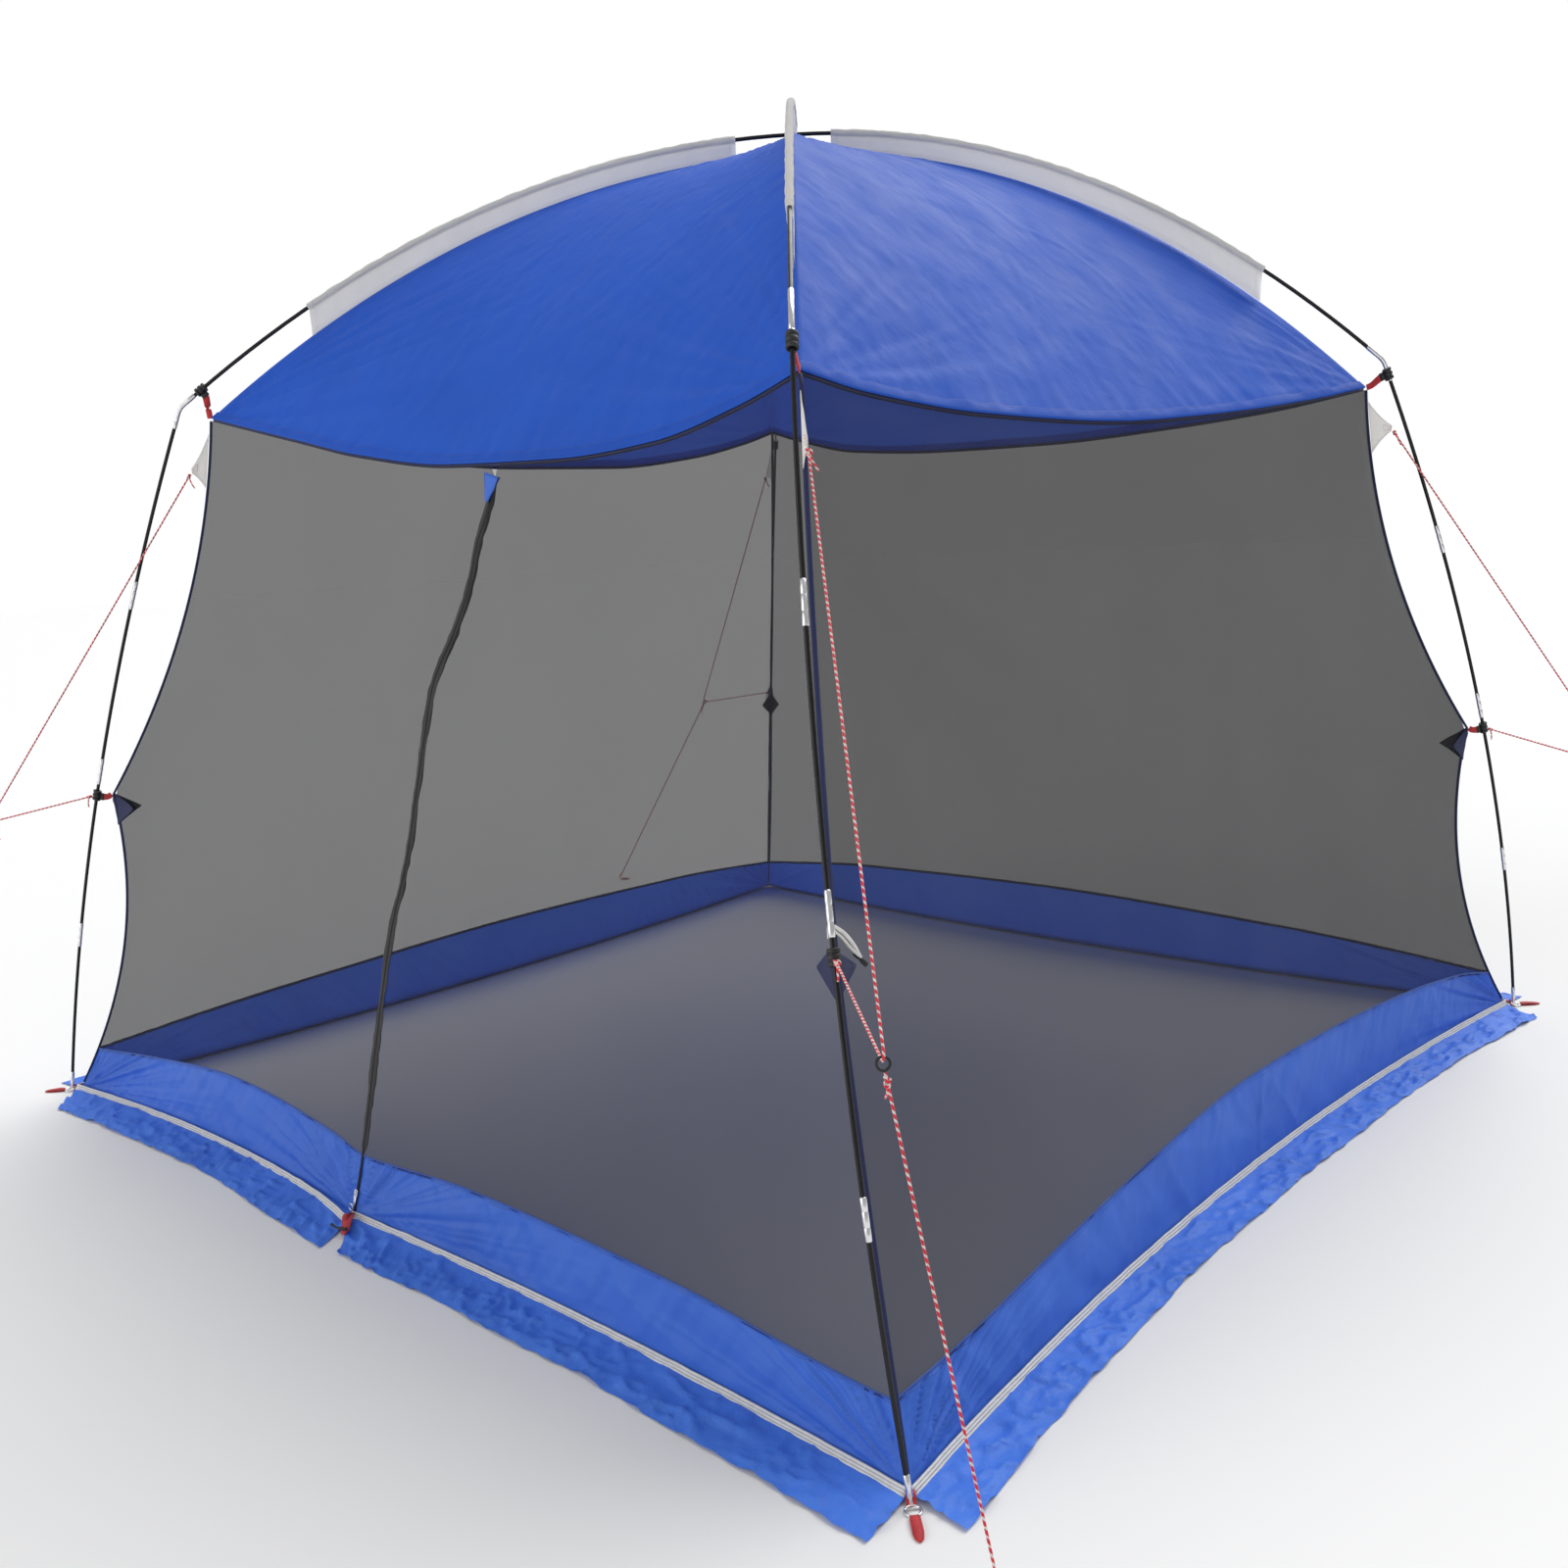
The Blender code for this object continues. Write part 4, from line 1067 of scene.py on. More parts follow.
def panel_wrinkles(side, grid, seed):
    """How far each point of a roof panel stands off it."""
    rows, columns = grid.shape[:2]
    first, last = SIDES[side]
    s = np.linspace(0, 1, rows)[:, None] * np.ones((1, columns))
    u = np.ones((rows, 1)) * np.linspace(0, 1, columns)[None]
    x, y = grid[..., 0], grid[..., 1]
    along = s * RIDGE_LENGTH
    out = np.zeros_like(s)
    corner_depth = 0.0034 if side == "right" else 0.0060
    for k, (corner, share) in enumerate(((first, u), (last, 1 - u))):
        out += fan(x, y, CANOPY_CORNER[corner][:2], 0.22, 120, corner_depth, seed + 11 * k)
        away = share * s * PANEL_WIDTH
        slant = along - away * 0.75
        bend = 0.02 * noise(along * 5, away * 6, seed + 2)
        soft = noise((slant + bend) * 52, away * 5.0, seed + 3 + k) * 0.5
        pleats = soft + (creases((slant + bend) * 70, away * 7.0, seed + 7 + k) - 0.5) * 0.5
        strength = 0.0036 if (side, corner) == ("front", "front_right") else 0.0016
        patches = 0.6 + 0.4 * noise(along * 3, away * 2, seed + 9)
        out += strength * pleats * np.exp(-away / 0.33) * smooth(away / 0.02) * patches
    out += fan(x, y, APEX[:2], 0.16, 150, 0.0036, seed + 29)
    below = (1 - s) * 1.1
    hang = noise(u * PANEL_WIDTH * 34 + (1 - s) * 5, below * 6, seed + 31)
    out += 0.0022 * hang * np.exp(-below / 0.10) * smooth(below / 0.010)
    out += 0.0012 * noise(x * 5 + y * 3, y * 6, seed + 41)
    for scale, depth in ((3.2, 0.0013), (7.5, 0.0008)):
        folds = creases(x * scale + y * scale * 0.7, y * scale - x * scale * 0.45, seed + 43 + int(scale))
        out += depth * np.clip(folds - 0.80, 0, 1) / 0.20
    out += 0.0007 * noise(x * 42, y * 42, seed + 47)
    return out * smooth(np.minimum(u, 1 - u) * s * PANEL_WIDTH / 0.025) * smooth(below / 0.008)


def make_canopy():
    """The whole roof cloth as one piece, and the four panels that it is made of."""
    rows, columns = 170, 190
    panels = []
    for k, side in enumerate(SIDES):
        grid = canopy_panel(side, rows, columns)
        normals = grid_normals(grid)
        normals[0] = UP
        sign = np.sign(normals[rows // 2, columns // 2, 2])
        grid = grid + normals * sign * panel_wrinkles(side, grid, 100 + 50 * k)[..., None]
        panels.append(grid)
    whole = np.concatenate([panel[:, :-1] for panel in panels], axis=1)
    wide = whole.shape[1]
    points = np.concatenate([whole[0, :1], whole[1:].reshape(-1, 3)])
    faces = [(0, 1 + k, 1 + (k + 1) % wide) for k in range(wide)]
    faces += [tuple(f) for f in grid_faces(rows - 1, wide, offset=1, closed=True)]
    canopy = mesh_piece("canopy_cloth", points, faces, CANOPY, uv=points[:, :2])
    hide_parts("canopy")
    return canopy, panels


def stitches(name, points, outs, material, dash=0.0032, gap=0.0024, wide=0.0007, body="frame"):
    """A row of thread stitches along points, each lying just outside the cloth."""
    points, outs = np.asarray(points, float), np.broadcast_to(np.asarray(outs, float), np.shape(points))
    lengths = lengths_along(points)
    marks = np.arange(0.002, lengths[-1] - dash, dash + gap)
    read = lambda at, rows: np.stack([np.interp(at, lengths, rows[:, k]) for k in range(3)], axis=1)
    a, b, out = read(marks, points), read(marks + dash, points), read(marks + dash / 2, outs)
    out /= np.linalg.norm(out, axis=1, keepdims=True)
    side = np.cross(b - a, out)
    side *= wide / 2 / np.linalg.norm(side, axis=1, keepdims=True)
    lift = out * 0.0007
    quads = np.stack([a - side, a + side, b + side, b - side], axis=1)
    middle = (a + b) / 2 + lift
    top = np.stack([middle - side * 0.6, middle + side * 0.6], axis=1)
    verts = np.concatenate([quads, top], axis=1).reshape(-1, 3)
    faces = []
    for k in range(len(a)):
        n = 6 * k
        faces += [(n, n + 1, n + 5, n + 4), (n + 4, n + 5, n + 2, n + 3), (n, n + 4, n + 3), (n + 1, n + 2, n + 5)]
    return mesh_piece(name, verts, faces, material, body)


BLUE_THREAD = shader("blue_thread", (0.035, 0.11, 0.50), 0.6)
WHITE_THREAD = shader("pale_thread", (0.62, 0.60, 0.57), 0.6)
NAVY_THREAD = shader("navy_thread", (0.03, 0.04, 0.20), 0.6)


HEM_FOLD = 0.022


def make_hem(side, panel):
    """The hem's turned edge, its two rows of stitches, and the navy piping below it where the netting joins."""
    edge = panel[-1]
    normals = grid_normals(panel)
    if normals[panel.shape[0] // 2, panel.shape[1] // 2, 2] < 0:
        normals = -normals
    down = edge - panel[-10]
    down /= np.linalg.norm(down, axis=1, keepdims=True)
    out = normals[-2]
    rows = [edge + down * 0.001 + out * 0.0002, edge + out * 0.0022, edge - down * 0.004 + out * 0.0026]
    inner = read_rows(panel, HEM_FOLD)
    rows += [lerp(rows[2], inner + out * 0.0024, 0.5), inner + out * 0.0024, inner - down * 0.0015 + out * 0.0004]
    fold = grid_piece(f"{side}_hem_fold", np.array(rows), CANOPY)
    for k, share in enumerate((0.18, 0.85)):
        line = lerp(rows[2], inner + out * 0.0024, share) + out * 0.0003
        stitches(f"{side}_hem_stitches_{k + 1}", line, out, BLUE_THREAD)
    base = np.array([hem_point(side, k) for k in np.linspace(0, 1, 61)]) - UP * 0.007
    centre = vec(0.05, 0.02, 0)
    towards = centre - base * (1, 1, 0)
    towards /= np.linalg.norm(towards, axis=1, keepdims=True)
    path = base + towards * 0.004
    piping = ribbon_shape(path + UP * 0.0030, UP, 0.0080, 0.003)
    mesh_piece(f"{side}_hem_piping", *piping, NAVY)
    return fold


def read_rows(panel, depth):
    """The points this far up the panel from its hem."""
    back = panel[::-1]
    lengths = np.cumsum(np.pad(np.linalg.norm(np.diff(back, axis=0), axis=2), ((1, 0), (0, 0))), axis=0)
    out = []
    for k in range(panel.shape[1]):
        out.append([np.interp(depth, lengths[:, k], back[:, k, a]) for a in range(3)])
    return np.array(out)


canopy, PANELS = make_canopy()
HEMS = [make_hem(side, panel) for side, panel in zip(SIDES, PANELS)]


# ---- Sleeves on the roof poles ----


SLEEVE_TURNS = np.radians([-62, -40, -15, 15, 45, 75, 105, 135, 165, 195, 220, 242])


def sleeve_section(corner, share, seed):
    """One outline of a sleeve round the pole, open where it is sewn to the canopy."""
    pole = roof_point(corner, share)
    along = unit(roof_point(corner, share + 0.01) - roof_point(corner, share))
    across = unit(np.cross(along, UP))
    if corner in ("back_left", "back_right"):
        across = -across
    up = np.cross(across, along)
    up = up if up[2] > 0 else -up
    apex = APEX[:2]
    reach = np.linalg.norm(pole[:2] - apex) / np.linalg.norm(vec(CANOPY_CORNER[corner][:2]) - apex)
    base = ridge_point(corner, min(reach, 1.0))
    base[:2] = lerp(base[:2], pole[:2], 0.5)
    run = (share if corner in ("front_left", "front_right") else -share) * 1.55
    radius = 0.0078 + 0.0007 * noise(run * 60, 0.3, seed)
    outline = []
    for t in SLEEVE_TURNS:
        pucker = 1 + 0.10 * noise(run * 75, t * 1.2, seed + 2)
        outline.append(pole + (across * math.cos(t) + up * math.sin(t)) * radius * pucker)
    for sign, target in ((1, outline[0]), (-1, outline[-1])):
        column = []
        for part in (0.12, 0.35, 0.6, 0.82, 1.0):
            sway = 0.0016 * noise(run * 32 + part, part * 2.0, seed + 4) * (1 - abs(part - 0.5))
            point = lerp(target, base, part) + across * (sign * lerp(0.0026, 0.0009, part) + sway)
            if part == 1.0:
                point = base + across * sign * 0.0012 - UP * 0.002
            column.append(point)
        outline = column[::-1] + outline if sign == 1 else outline + column
    return np.array(outline)


def make_sleeve(name, node, stops, seed):
    """One sleeve over the pole through stops, with stitches along its edges and across its ends."""
    grid = np.array([sleeve_section(corner, share, seed) for corner, share in stops])
    made = grid_piece(name, grid, SLEEVE)
    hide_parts(node)
    for k, column in enumerate((1, grid.shape[1] - 2)):
        line = grid[:, column]
        out = line - grid.mean(axis=1)
        line = line + unit_rows(out) * 0.0004
        stitches(f"{name}_stitches_{k + 1}", line, out, WHITE_THREAD)
    for k, row in enumerate((2, len(grid) - 3)):
        line = grid[row]
        out = line - line.mean(axis=0) + 1e-6
        line = line + unit_rows(out) * 0.0003
        stitches(f"{name}_end_stitches_{k + 1}", line, out, WHITE_THREAD)
    return made


def make_sleeves():
    made = []
    for k, corner in enumerate(POLES["pole_a"]):
        low, high = SLEEVE_SPAN[corner]
        stops = [(corner, s) for s in np.linspace(low, high, 150)]
        made.append(make_sleeve(f"{corner}_white_sleeve", f"{corner}_pole_sleeve", stops, 300 + k))
    first, last = POLES["pole_b"]
    stops = [(first, s) for s in np.linspace(SLEEVE_SPAN[first][1], 0, 150)[:-1]]
    stops += [(last, s) for s in np.linspace(0, SLEEVE_SPAN[last][1], 150)]
    made.append(make_sleeve("near_to_far_white_sleeve", "pole_b_sleeve", stops, 310))
    return made


SLEEVES = make_sleeves()


# ---- Walls ----

ZIP_TOP, ZIP_BOTTOM = vec(0.120, -0.985, 1.520), vec(-0.090, -1.432, 0.006)
ZIP_ALONG = unit(ZIP_TOP - ZIP_BOTTOM)


def fold_with_door(piece):
    """Bakes the piece's placing into its mesh; the piece is not attached to the frame or to the door."""
    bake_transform(piece)


def wall_edges(wall, rows=72, columns=90):
    """A wall's four edges: the ground line, the canopy's hem, and its first and last side, from the ground up."""
    u, v = np.linspace(0, 1, columns), np.linspace(0, 1, rows)
    if wall in ("right", "back", "left"):
        first, last = SIDES[wall]
        low = np.array([ground_point(wall, k) for k in u])
        high = np.array([hem_point(wall, k) for k in u]) - UP * HEM_GAP
        start = np.array([seam_point(first, k) for k in v])
        end = np.array([seam_point(last, k) for k in v])
    else:
        on_left = wall == "front_left"
        zipper = zip_line(rows)
        share = zip_share()
        inset = 0.046 if on_left else 0.026
        begin, finish = (0.0, share) if on_left else (share, 1.0)
        first, last = (seam_foot(wall), zipper[0]) if on_left else (zipper[0], seam_foot(wall))
        low = np.array([lerp(first, last, k) - outward("front") * inset * 4 * k * (1 - k) for k in u])
        high = np.array([hem_point("front", lerp(begin, finish, k)) for k in u]) - UP * HEM_GAP
        seam = np.array([seam_point(wall, k) for k in v])
        start, end = (seam, zipper) if on_left else (zipper, seam)
        high[-1 if on_left else 0] = zipper[-1]
    low[:, 2] = np.maximum(low[:, 2], 0.008)
    low[0], low[-1], high[0], high[-1] = start[0], end[0], start[-1], end[-1]
    return low, high, start, end


def zip_share():
    """How far along the front side the zip's top is."""
    first, last = (vec(CANOPY_CORNER[c]) for c in SIDES["front"])
    along = last - first
    return float((vec(ZIP_PATH[0]) - first).dot(along) / along.dot(along))


# How far along the front side the zip's foot is.
ZIP_FOOT_SHARE = 0.462


def band_top(wall, u):
    """How high the solid band reaches, at shares u along this wall."""
    if wall in ("right", "back", "left"):
        return profile(BAND_HEIGHT[wall], u)
    whole = u * ZIP_FOOT_SHARE if wall == "front_left" else ZIP_FOOT_SHARE + u * (1 - ZIP_FOOT_SHARE)
    return profile(BAND_HEIGHT["front"], whole)


def split_shares(grid, wall, columns):
    """The share up each column at which the band ends."""
    u = np.linspace(0, 1, columns)
    steps, highest = 141, 0.35
    fine = np.linspace(0, highest, steps)
    points = read_grid(grid, u[:, None] * np.ones((1, steps)), fine[None] * np.ones((columns, 1)))
    return np.array([np.interp(h, z, fine) for h, z in zip(band_top(wall, u), points[..., 2])])


def outside_normals(grid):
    """The surface's normals, turned to the outside of the shelter."""
    normals = grid_normals(grid)
    middle = grid[grid.shape[0] // 2, grid.shape[1] // 2]
    n = normals[grid.shape[0] // 2, grid.shape[1] // 2]
    return normals if n[:2].dot(middle[:2]) > 0 else -normals


WALL_SEEDS = {"front_left": 400, "front_right": 440, "right": 480, "back": 520, "left": 560}
WALL_NODES = {
    "front_left": ("door_fixed_left", "door_flap_left"),
    "front_right": ("door_fixed_right", "door_flap_right"),
    "right": ("right_wall",),
    "back": ("back_wall",),
    "left": ("left_wall",),
}


def attach(piece, wall):
    """A piece of a wall rides on the frame; where it is part of the front, its placing is only baked into its mesh."""
    if wall.startswith("front_"):
        fold_with_door(piece)
    else:
        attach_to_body(piece, "frame")
    return piece


def edge_fade(rows, columns, low, high, sides):
    """From 0 on a grid's edges to 1 inside, over these shares of it from its low, its high and its side edges."""
    u = np.linspace(0, 1, columns)[None]
    v = np.linspace(0, 1, rows)[:, None]
    return smooth(v / low) * smooth((1 - v) / high) * smooth(np.minimum(u, 1 - u) / sides)


def make_netting(wall, base, split):
    """A wall's netting, from the band up to the canopy's hem."""
    rows, columns = 84, 100
    u = np.linspace(0, 1, columns)[None] * np.ones((rows, 1))
    top = np.interp(u[0], np.linspace(0, 1, len(split)), split) - 0.004
    v = top[None] + (1 - top[None]) * np.linspace(0, 1, rows)[:, None]
    grid = read_grid(base, u, v)
    normals = outside_normals(grid)
    across, up = grid_lengths(grid)
    seed = WALL_SEEDS[wall]
    wide, tall = across[rows // 2, -1], up[-1, columns // 2]
    off = 0.010 * noise(across * 1.6, up * 0.8, seed) + 0.004 * noise(across * 5.5, up * 1.8, seed + 1)
    for k, (cx, cy) in enumerate(((0, tall), (wide, tall), (0, 0), (wide, 0))):
        off += fan(across, up, (cx, cy), 0.30, 46, 0.007, seed + 4 + k)
    patch_height = 0.45 * tall
    zip_end = {"front_left": 1, "front_right": 0}.get(wall)
    for k, cx in enumerate((0, wide)):
        if k != zip_end:
            off += fan(across, up, (cx, patch_height), 0.22, 40, 0.006, seed + 12 + k)
    grid = grid + normals * (off * edge_fade(rows, columns, 0.05, 0.04, 0.03))[..., None]
    # The right and back walls take the more opaque netting: painted shade where the front sun does not fall.
    material = SHADED_NETTING if wall in ("right", "back") else NETTING
    piece = grid_piece(f"{wall}_netting", grid, material, body=None)
    attach(piece, wall)
    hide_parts(*WALL_NODES[wall])
    return piece


def make_band(wall, base, split):
    """A wall's solid band, its top binding and its stitches: the band as a piece, and its points."""
    rows, columns = 34, int(line_length(base[0]) / 0.0055)
    u = np.linspace(0, 1, columns)[None] * np.ones((rows, 1))
    top = np.interp(u[0], np.linspace(0, 1, len(split)), split)
    grid = read_grid(base, u, top[None] * np.linspace(0, 1, rows)[:, None])
    normals = outside_normals(grid)
    across, up = grid_lengths(grid)
    seed = WALL_SEEDS[wall] + 20
    wide, tall = across[0, -1], up[-1].mean()
    slant = 0.55 * np.sign(wide / 2 - across)
    off = 0.0040 * noise((across + up * slant) * 16, up * 7, seed)
    off = off + 0.0022 * noise((across - up * 0.4) * 42, up * 14, seed + 1)
    off += 0.0026 * (creases((across + up * 0.9) * 11, up * 9 + across * 2, seed + 2) - 0.5)
    for k, (cx, cy) in enumerate(((0, 0), (wide, 0))):
        off += fan(across, up, (cx, cy), 0.16, 120, 0.0105, seed + 4 + k)
    low_pleats = noise(across * 30, up * 4, seed + 8) * np.exp(-up / 0.035)
    high_pleats = noise(across * 34, up * 4, seed + 9) * np.exp(-(tall - up) / 0.03)
    off += 0.0028 * low_pleats + 0.0018 * high_pleats
    off = off * edge_fade(rows, columns, 0.22, 0.08, 0.012) + 0.0012
    grid = grid + normals * off[..., None]
    grid[..., 2] = np.maximum(grid[..., 2], 0.004)
    piece = attach(grid_piece(f"{wall}_ground_band", grid, BAND, body=None), wall)
    edge = grid[-1] + normals[-1] * 0.0012
    near = wall in ("front_left", "front_right", "right")
    wide, material = (0.0034, BINDING) if near else (0.0060, NAVY)
    binding = ribbon_shape(edge[::2], grid[-1][::2] - grid[-3][::2], wide, 0.0016)
    attach(mesh_piece(f"{wall}_band_binding", *binding, material, body=None), wall)
    if near:
        for k, drop in enumerate((0.0034, 0.0075)):
            at = [np.interp(drop, up[-1, -1] - up[::-1, -1], np.arange(rows)[::-1])] * columns
            line = read_grid(grid, u[0], np.array(at) / (rows - 1)) + normals[-2] * 0.0012
            made = stitches(f"{wall}_band_stitches_{k + 1}", line, normals[-2], NAVY_THREAD, body=None)
            attach(made, wall)
    return piece, grid


# How far along the wall each outer corner of its skirt is shifted, at its first and at its last end.
SKIRT_SHIFT = {
    "front_left": (0.09, 0.085),
    "front_right": (0.120, 0.025),
    "right": (-0.029, -0.050),
    "back": (-0.03, 0.03),
    "left": (-0.03, 0.03),
}
SKIRT_WIDTH = {"front_left": 0.130, "front_right": 0.128, "right": 0.112, "back": 0.115, "left": 0.115}


def wall_side(wall):
    return "front" if wall.startswith("front") else wall


def skirt_width(wall, u):
    seed = WALL_SEEDS[wall] + 60
    return SKIRT_WIDTH[wall] + 0.006 * noise(u * 7, u * 0, seed) + 0.002 * noise(u * 31, u * 0 + 3, seed + 1)


def make_skirt(wall, band):
    """The loose cloth that lies on the ground outside the tape, crumpled, cut off square at its ends."""
    line = band[0]
    length = line_length(line)
    rows, columns = 22, int(length / 0.0075)
    u = np.linspace(0, 1, columns)
    line = respaced(line, count=columns)
    tangent = unit_rows(np.gradient(line, axis=0))
    out = np.cross(tangent, UP)
    out = unit_rows(np.where((out @ outward(wall_side(wall)) > 0)[:, None], out, -out) * (1, 1, 0))
    seed = WALL_SEEDS[wall] + 70
    width = skirt_width(wall, u)
    across = u * length
    begin, finish = SKIRT_SHIFT[wall]
    shift = begin * np.exp(-across / 0.24) + finish * np.exp(-(length - across) / 0.24)
    v = np.linspace(0, 1, rows)[:, None]
    spread = v * width[None]
    grid = line[None] + out[None] * spread[..., None] + (tangent * shift[:, None])[None] * v[..., None]
    x, y = across[None] * np.ones((rows, 1)), spread
    crumple = 0.5 * creases(x * 17 + y * 8, y * 22 - x * 4, seed)
    crumple = crumple + 0.5 * creases(x * 36 - y * 14, y * 40 + x * 6, seed + 1)
    waves = noise(x * 6.5, y * 5 + 1, seed + 2)
    rise = 0.003 + 0.014 * np.clip(crumple, 0, 1) ** 1.7 + 0.005 * np.clip(waves, 0, 1)
    fall = (line[None, :, 2] + 0.002) * (1 - smooth(v / 0.42))
    lift = rise * smooth(v / 0.38) * (1 - 0.35 * smooth((v - 0.8) / 0.2))
    grid[..., 2] = np.maximum(fall + lift, 0.0015)
    jog = 0.003 * noise(x * 24, y * 20, seed + 3)
    grid += out[None] * (jog * smooth(v / 0.2))[..., None]
    return attach(grid_piece(f"{wall}_ground_skirt", grid, SKIRT, body=None), wall)


# How far outside the band's foot the ground tape lies.
TAPE_OUT = {"front_left": 0.0165, "front_right": 0.0115, "right": 0.010, "back": 0.010, "left": 0.010}


def make_tape(wall, band):
    """The reinforced tape along the ground line: three woven ribs on a grey ground."""
    out = outward(wall_side(wall))
    line = respaced(band[0], step=0.012)
    bulge = np.zeros(len(line))
    if wall == "front_left":
        bulge = 0.015 * np.exp(-np.linalg.norm(line - ZIP_BOTTOM, axis=1) / 0.11)
    line = line + out * (TAPE_OUT[wall] + bulge)[:, None]
    face = unit(out * 0.75 + UP * 0.66)
    along = unit_rows(np.gradient(line, axis=0))
    up = unit_rows(np.cross(along, np.broadcast_to(face, line.shape)))
    up = np.where((up[:, 2] < 0)[:, None], -up, up)
    wander = 0.0014 * noise(np.arange(len(line)) * 0.35, 0.5, WALL_SEEDS[wall] + 90)
    line = line + up * (0.006 + wander)[:, None]
    line[:, 2] = np.maximum(line[:, 2], 0.0140)
    shapes = [ribbon_shape(line, up, 0.0175, 0.0014)]
    for shift in (-0.0056, 0.0, 0.0056):
        shapes.append(ribbon_shape(line + up * shift + face * 0.0008, up, 0.0040, 0.0016))
    points, faces = joined(*shapes)
    ground = len(shapes[0][1])
    finish = [0] * ground + [1] * (len(faces) - ground)
    tape = mesh_piece(f"{wall}_ground_tape", points, faces, [GREY_TAPE, WHITE_TAPE], None, finish)
    return attach(tape, wall)


def sheet_area(piece):
    return sum(p.area for p in piece.data.polygons)


def declare_sheet(piece, flat):
    """flat is the box the panel was cut from. The box is grown, keeping its shape, until it holds the cloth's area;
    the grown size is not kept or used.
    """
    area = sheet_area(piece)
    width, length = map(float, flat)
    if area > width * length:
        grow = math.sqrt(area / (width * length)) * 1.001
        width, length = width * grow, length * grow


# Each wall's surface, its netting, its band, its skirt and its ground tape.
WALLS = {}
for wall in ("front_left", "front_right", "right", "back", "left"):
    edges = wall_edges(wall)
    base = patch_between(*edges)
    split = split_shares(base, wall, 90)
    netting = make_netting(wall, base, split)
    band, band_grid = make_band(wall, base, split)
    WALLS[wall] = (base, netting, band, make_skirt(wall, band_grid), make_tape(wall, band_grid))


# ---- Corner seams, their patches and the guy tabs ----


def make_seam(corner):
    """The navy binding down a corner, with a row of stitches on each side."""
    points = np.array([seam_point(corner, s) for s in np.linspace(0.012, 1, 90)])
    out = -inward(corner)
    side = np.cross(out, UP)
    if corner == "front_right":
        bow = np.sin(np.linspace(0, math.pi, 90))[:, None] ** 0.4
        points += side * 0.0065 * bow * (1 if side[1] > 0 else -1)
    shape = ribbon_shape(points + out * 0.003, side, 0.0085, 0.005)
    seam = mesh_piece(f"{corner}_seam_binding", *shape, NAVY)
    for sign, hand in ((-1, "left"), (1, "right")):
        line = points + out * 0.0056 + side * sign * 0.0024
        stitches(f"{corner}_seam_stitches_{hand}", line, out, NAVY_THREAD)
    return seam


def corner_walls(corner):
    """The two walls that meet at a corner: (wall, True where the corner is its first side)."""
    found = []
    for side, (first, last) in SIDES.items():
        if corner == first:
            found.append((side if side != "front" else "front_left", True))
        if corner == last:
            found.append((side if side != "front" else "front_right", False))
    return found


# The patch's half height, its half widths on its two walls, and how far its middle hangs below the clip.
PATCH_HALF_HEIGHT, PATCH_HALF_WIDTHS, PATCH_DROP = 0.047, (0.044, 0.052), 0.045


def make_patch(corner):
    """The navy diamond sewn over the corner seam where the clip's webbing holds it, folded round the corner."""
    columns, rows = 15, 17
    grid = np.zeros((rows, columns, 3))
    seam_length = np.linalg.norm(seam_point(corner, 0.52) - seam_point(corner, 0.48)) / 0.04
    sides = corner_walls(corner)
    out = -inward(corner)
    for j, across in enumerate(np.linspace(-1, 1, columns)):
        half = 0 if across < 0 else 1
        wall, first = sides[half]
        base = WALLS[wall][0]
        wide = np.linalg.norm(base[36, -1] - base[36, 0])
        for i, up in enumerate(np.linspace(-1, 1, rows)):
            u = abs(across) * PATCH_HALF_WIDTHS[half] / wide
            v = 0.5 + (up * (1 - abs(across) * 0.97) * PATCH_HALF_HEIGHT - PATCH_DROP) / seam_length
            point = read_grid(base, np.array([u if first else 1 - u]), np.array([v]))[0]
            grid[i, j] = point + out * (0.0075 - 0.003 * abs(across))
    ripple = noise(np.linspace(0, 4, columns)[None] + np.zeros((rows, 1)), np.linspace(0, 5, rows)[:, None], 700)
    grid += out * (0.0016 * ripple)[..., None]
    patch = grid_piece(f"{corner}_patch", grid, NAVY)
    thicken(patch, 0.0016)
    border = np.concatenate([grid[-1, ::-1], grid[0]])
    middle = grid[rows // 2, columns // 2]
    line = lerp(border, middle, 0.09) + out * 0.0012
    stitches(f"{corner}_patch_stitches", line, out, NAVY_THREAD)
    return patch


def make_guy_tab(corner):
    """The cream triangle that the guy ties to, with its box of red stitches and its edge stitches."""
    top, bottom, tip = tab_points(corner)
    rows, columns = 14, 18
    blunt = UP * 0.0062
    across = unit(np.cross(tip - bottom, UP))
    grid = np.zeros((rows, columns, 3))
    for i, up in enumerate(np.linspace(0, 1, rows)):
        for j, reach in enumerate(np.linspace(0, 1, columns)):
            root, end = lerp(bottom, top, up), lerp(tip - blunt, tip + blunt, up)
            pull = 4 * reach * (1 - reach)
            point = lerp(root, end, reach) - UP * (up - 0.5) * 0.010 * pull
            ripple = 0.0018 * noise((up - 0.5) * (1 - reach) * 5 + 2, reach * 2, 640) * pull
            grid[i, j] = point + across * ripple
    tab = grid_piece(f"{corner}_cream_guy_tab", grid, SLEEVE)
    thicken(tab, 0.0014)
    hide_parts(f"{corner}_guy_tab")
    red = shader(f"{corner}_red_thread", (0.50, 0.03, 0.04), 0.6)
    box = [grid[4, -7], grid[9, -7], grid[8, -2], grid[5, -2], grid[4, -7]]
    line = np.array([lerp(a, b, t) for a, b in zip(box, box[1:]) for t in np.linspace(0, 1, 6)[:-1]] + [box[0]])
    edge = np.concatenate([lerp(grid[0], grid[1], 0.6), lerp(grid[-1], grid[-2], 0.6)[::-1]])
    for k, sign in enumerate((-1, 1)):
        for name, points, thread in (("tab_stitches", line, red), ("tab_edge_stitches", edge, WHITE_THREAD)):
            points = points + across * sign * 0.0009
            stitches(f"{corner}_{name}_{k + 1}", points, across * sign, thread)
    return tab


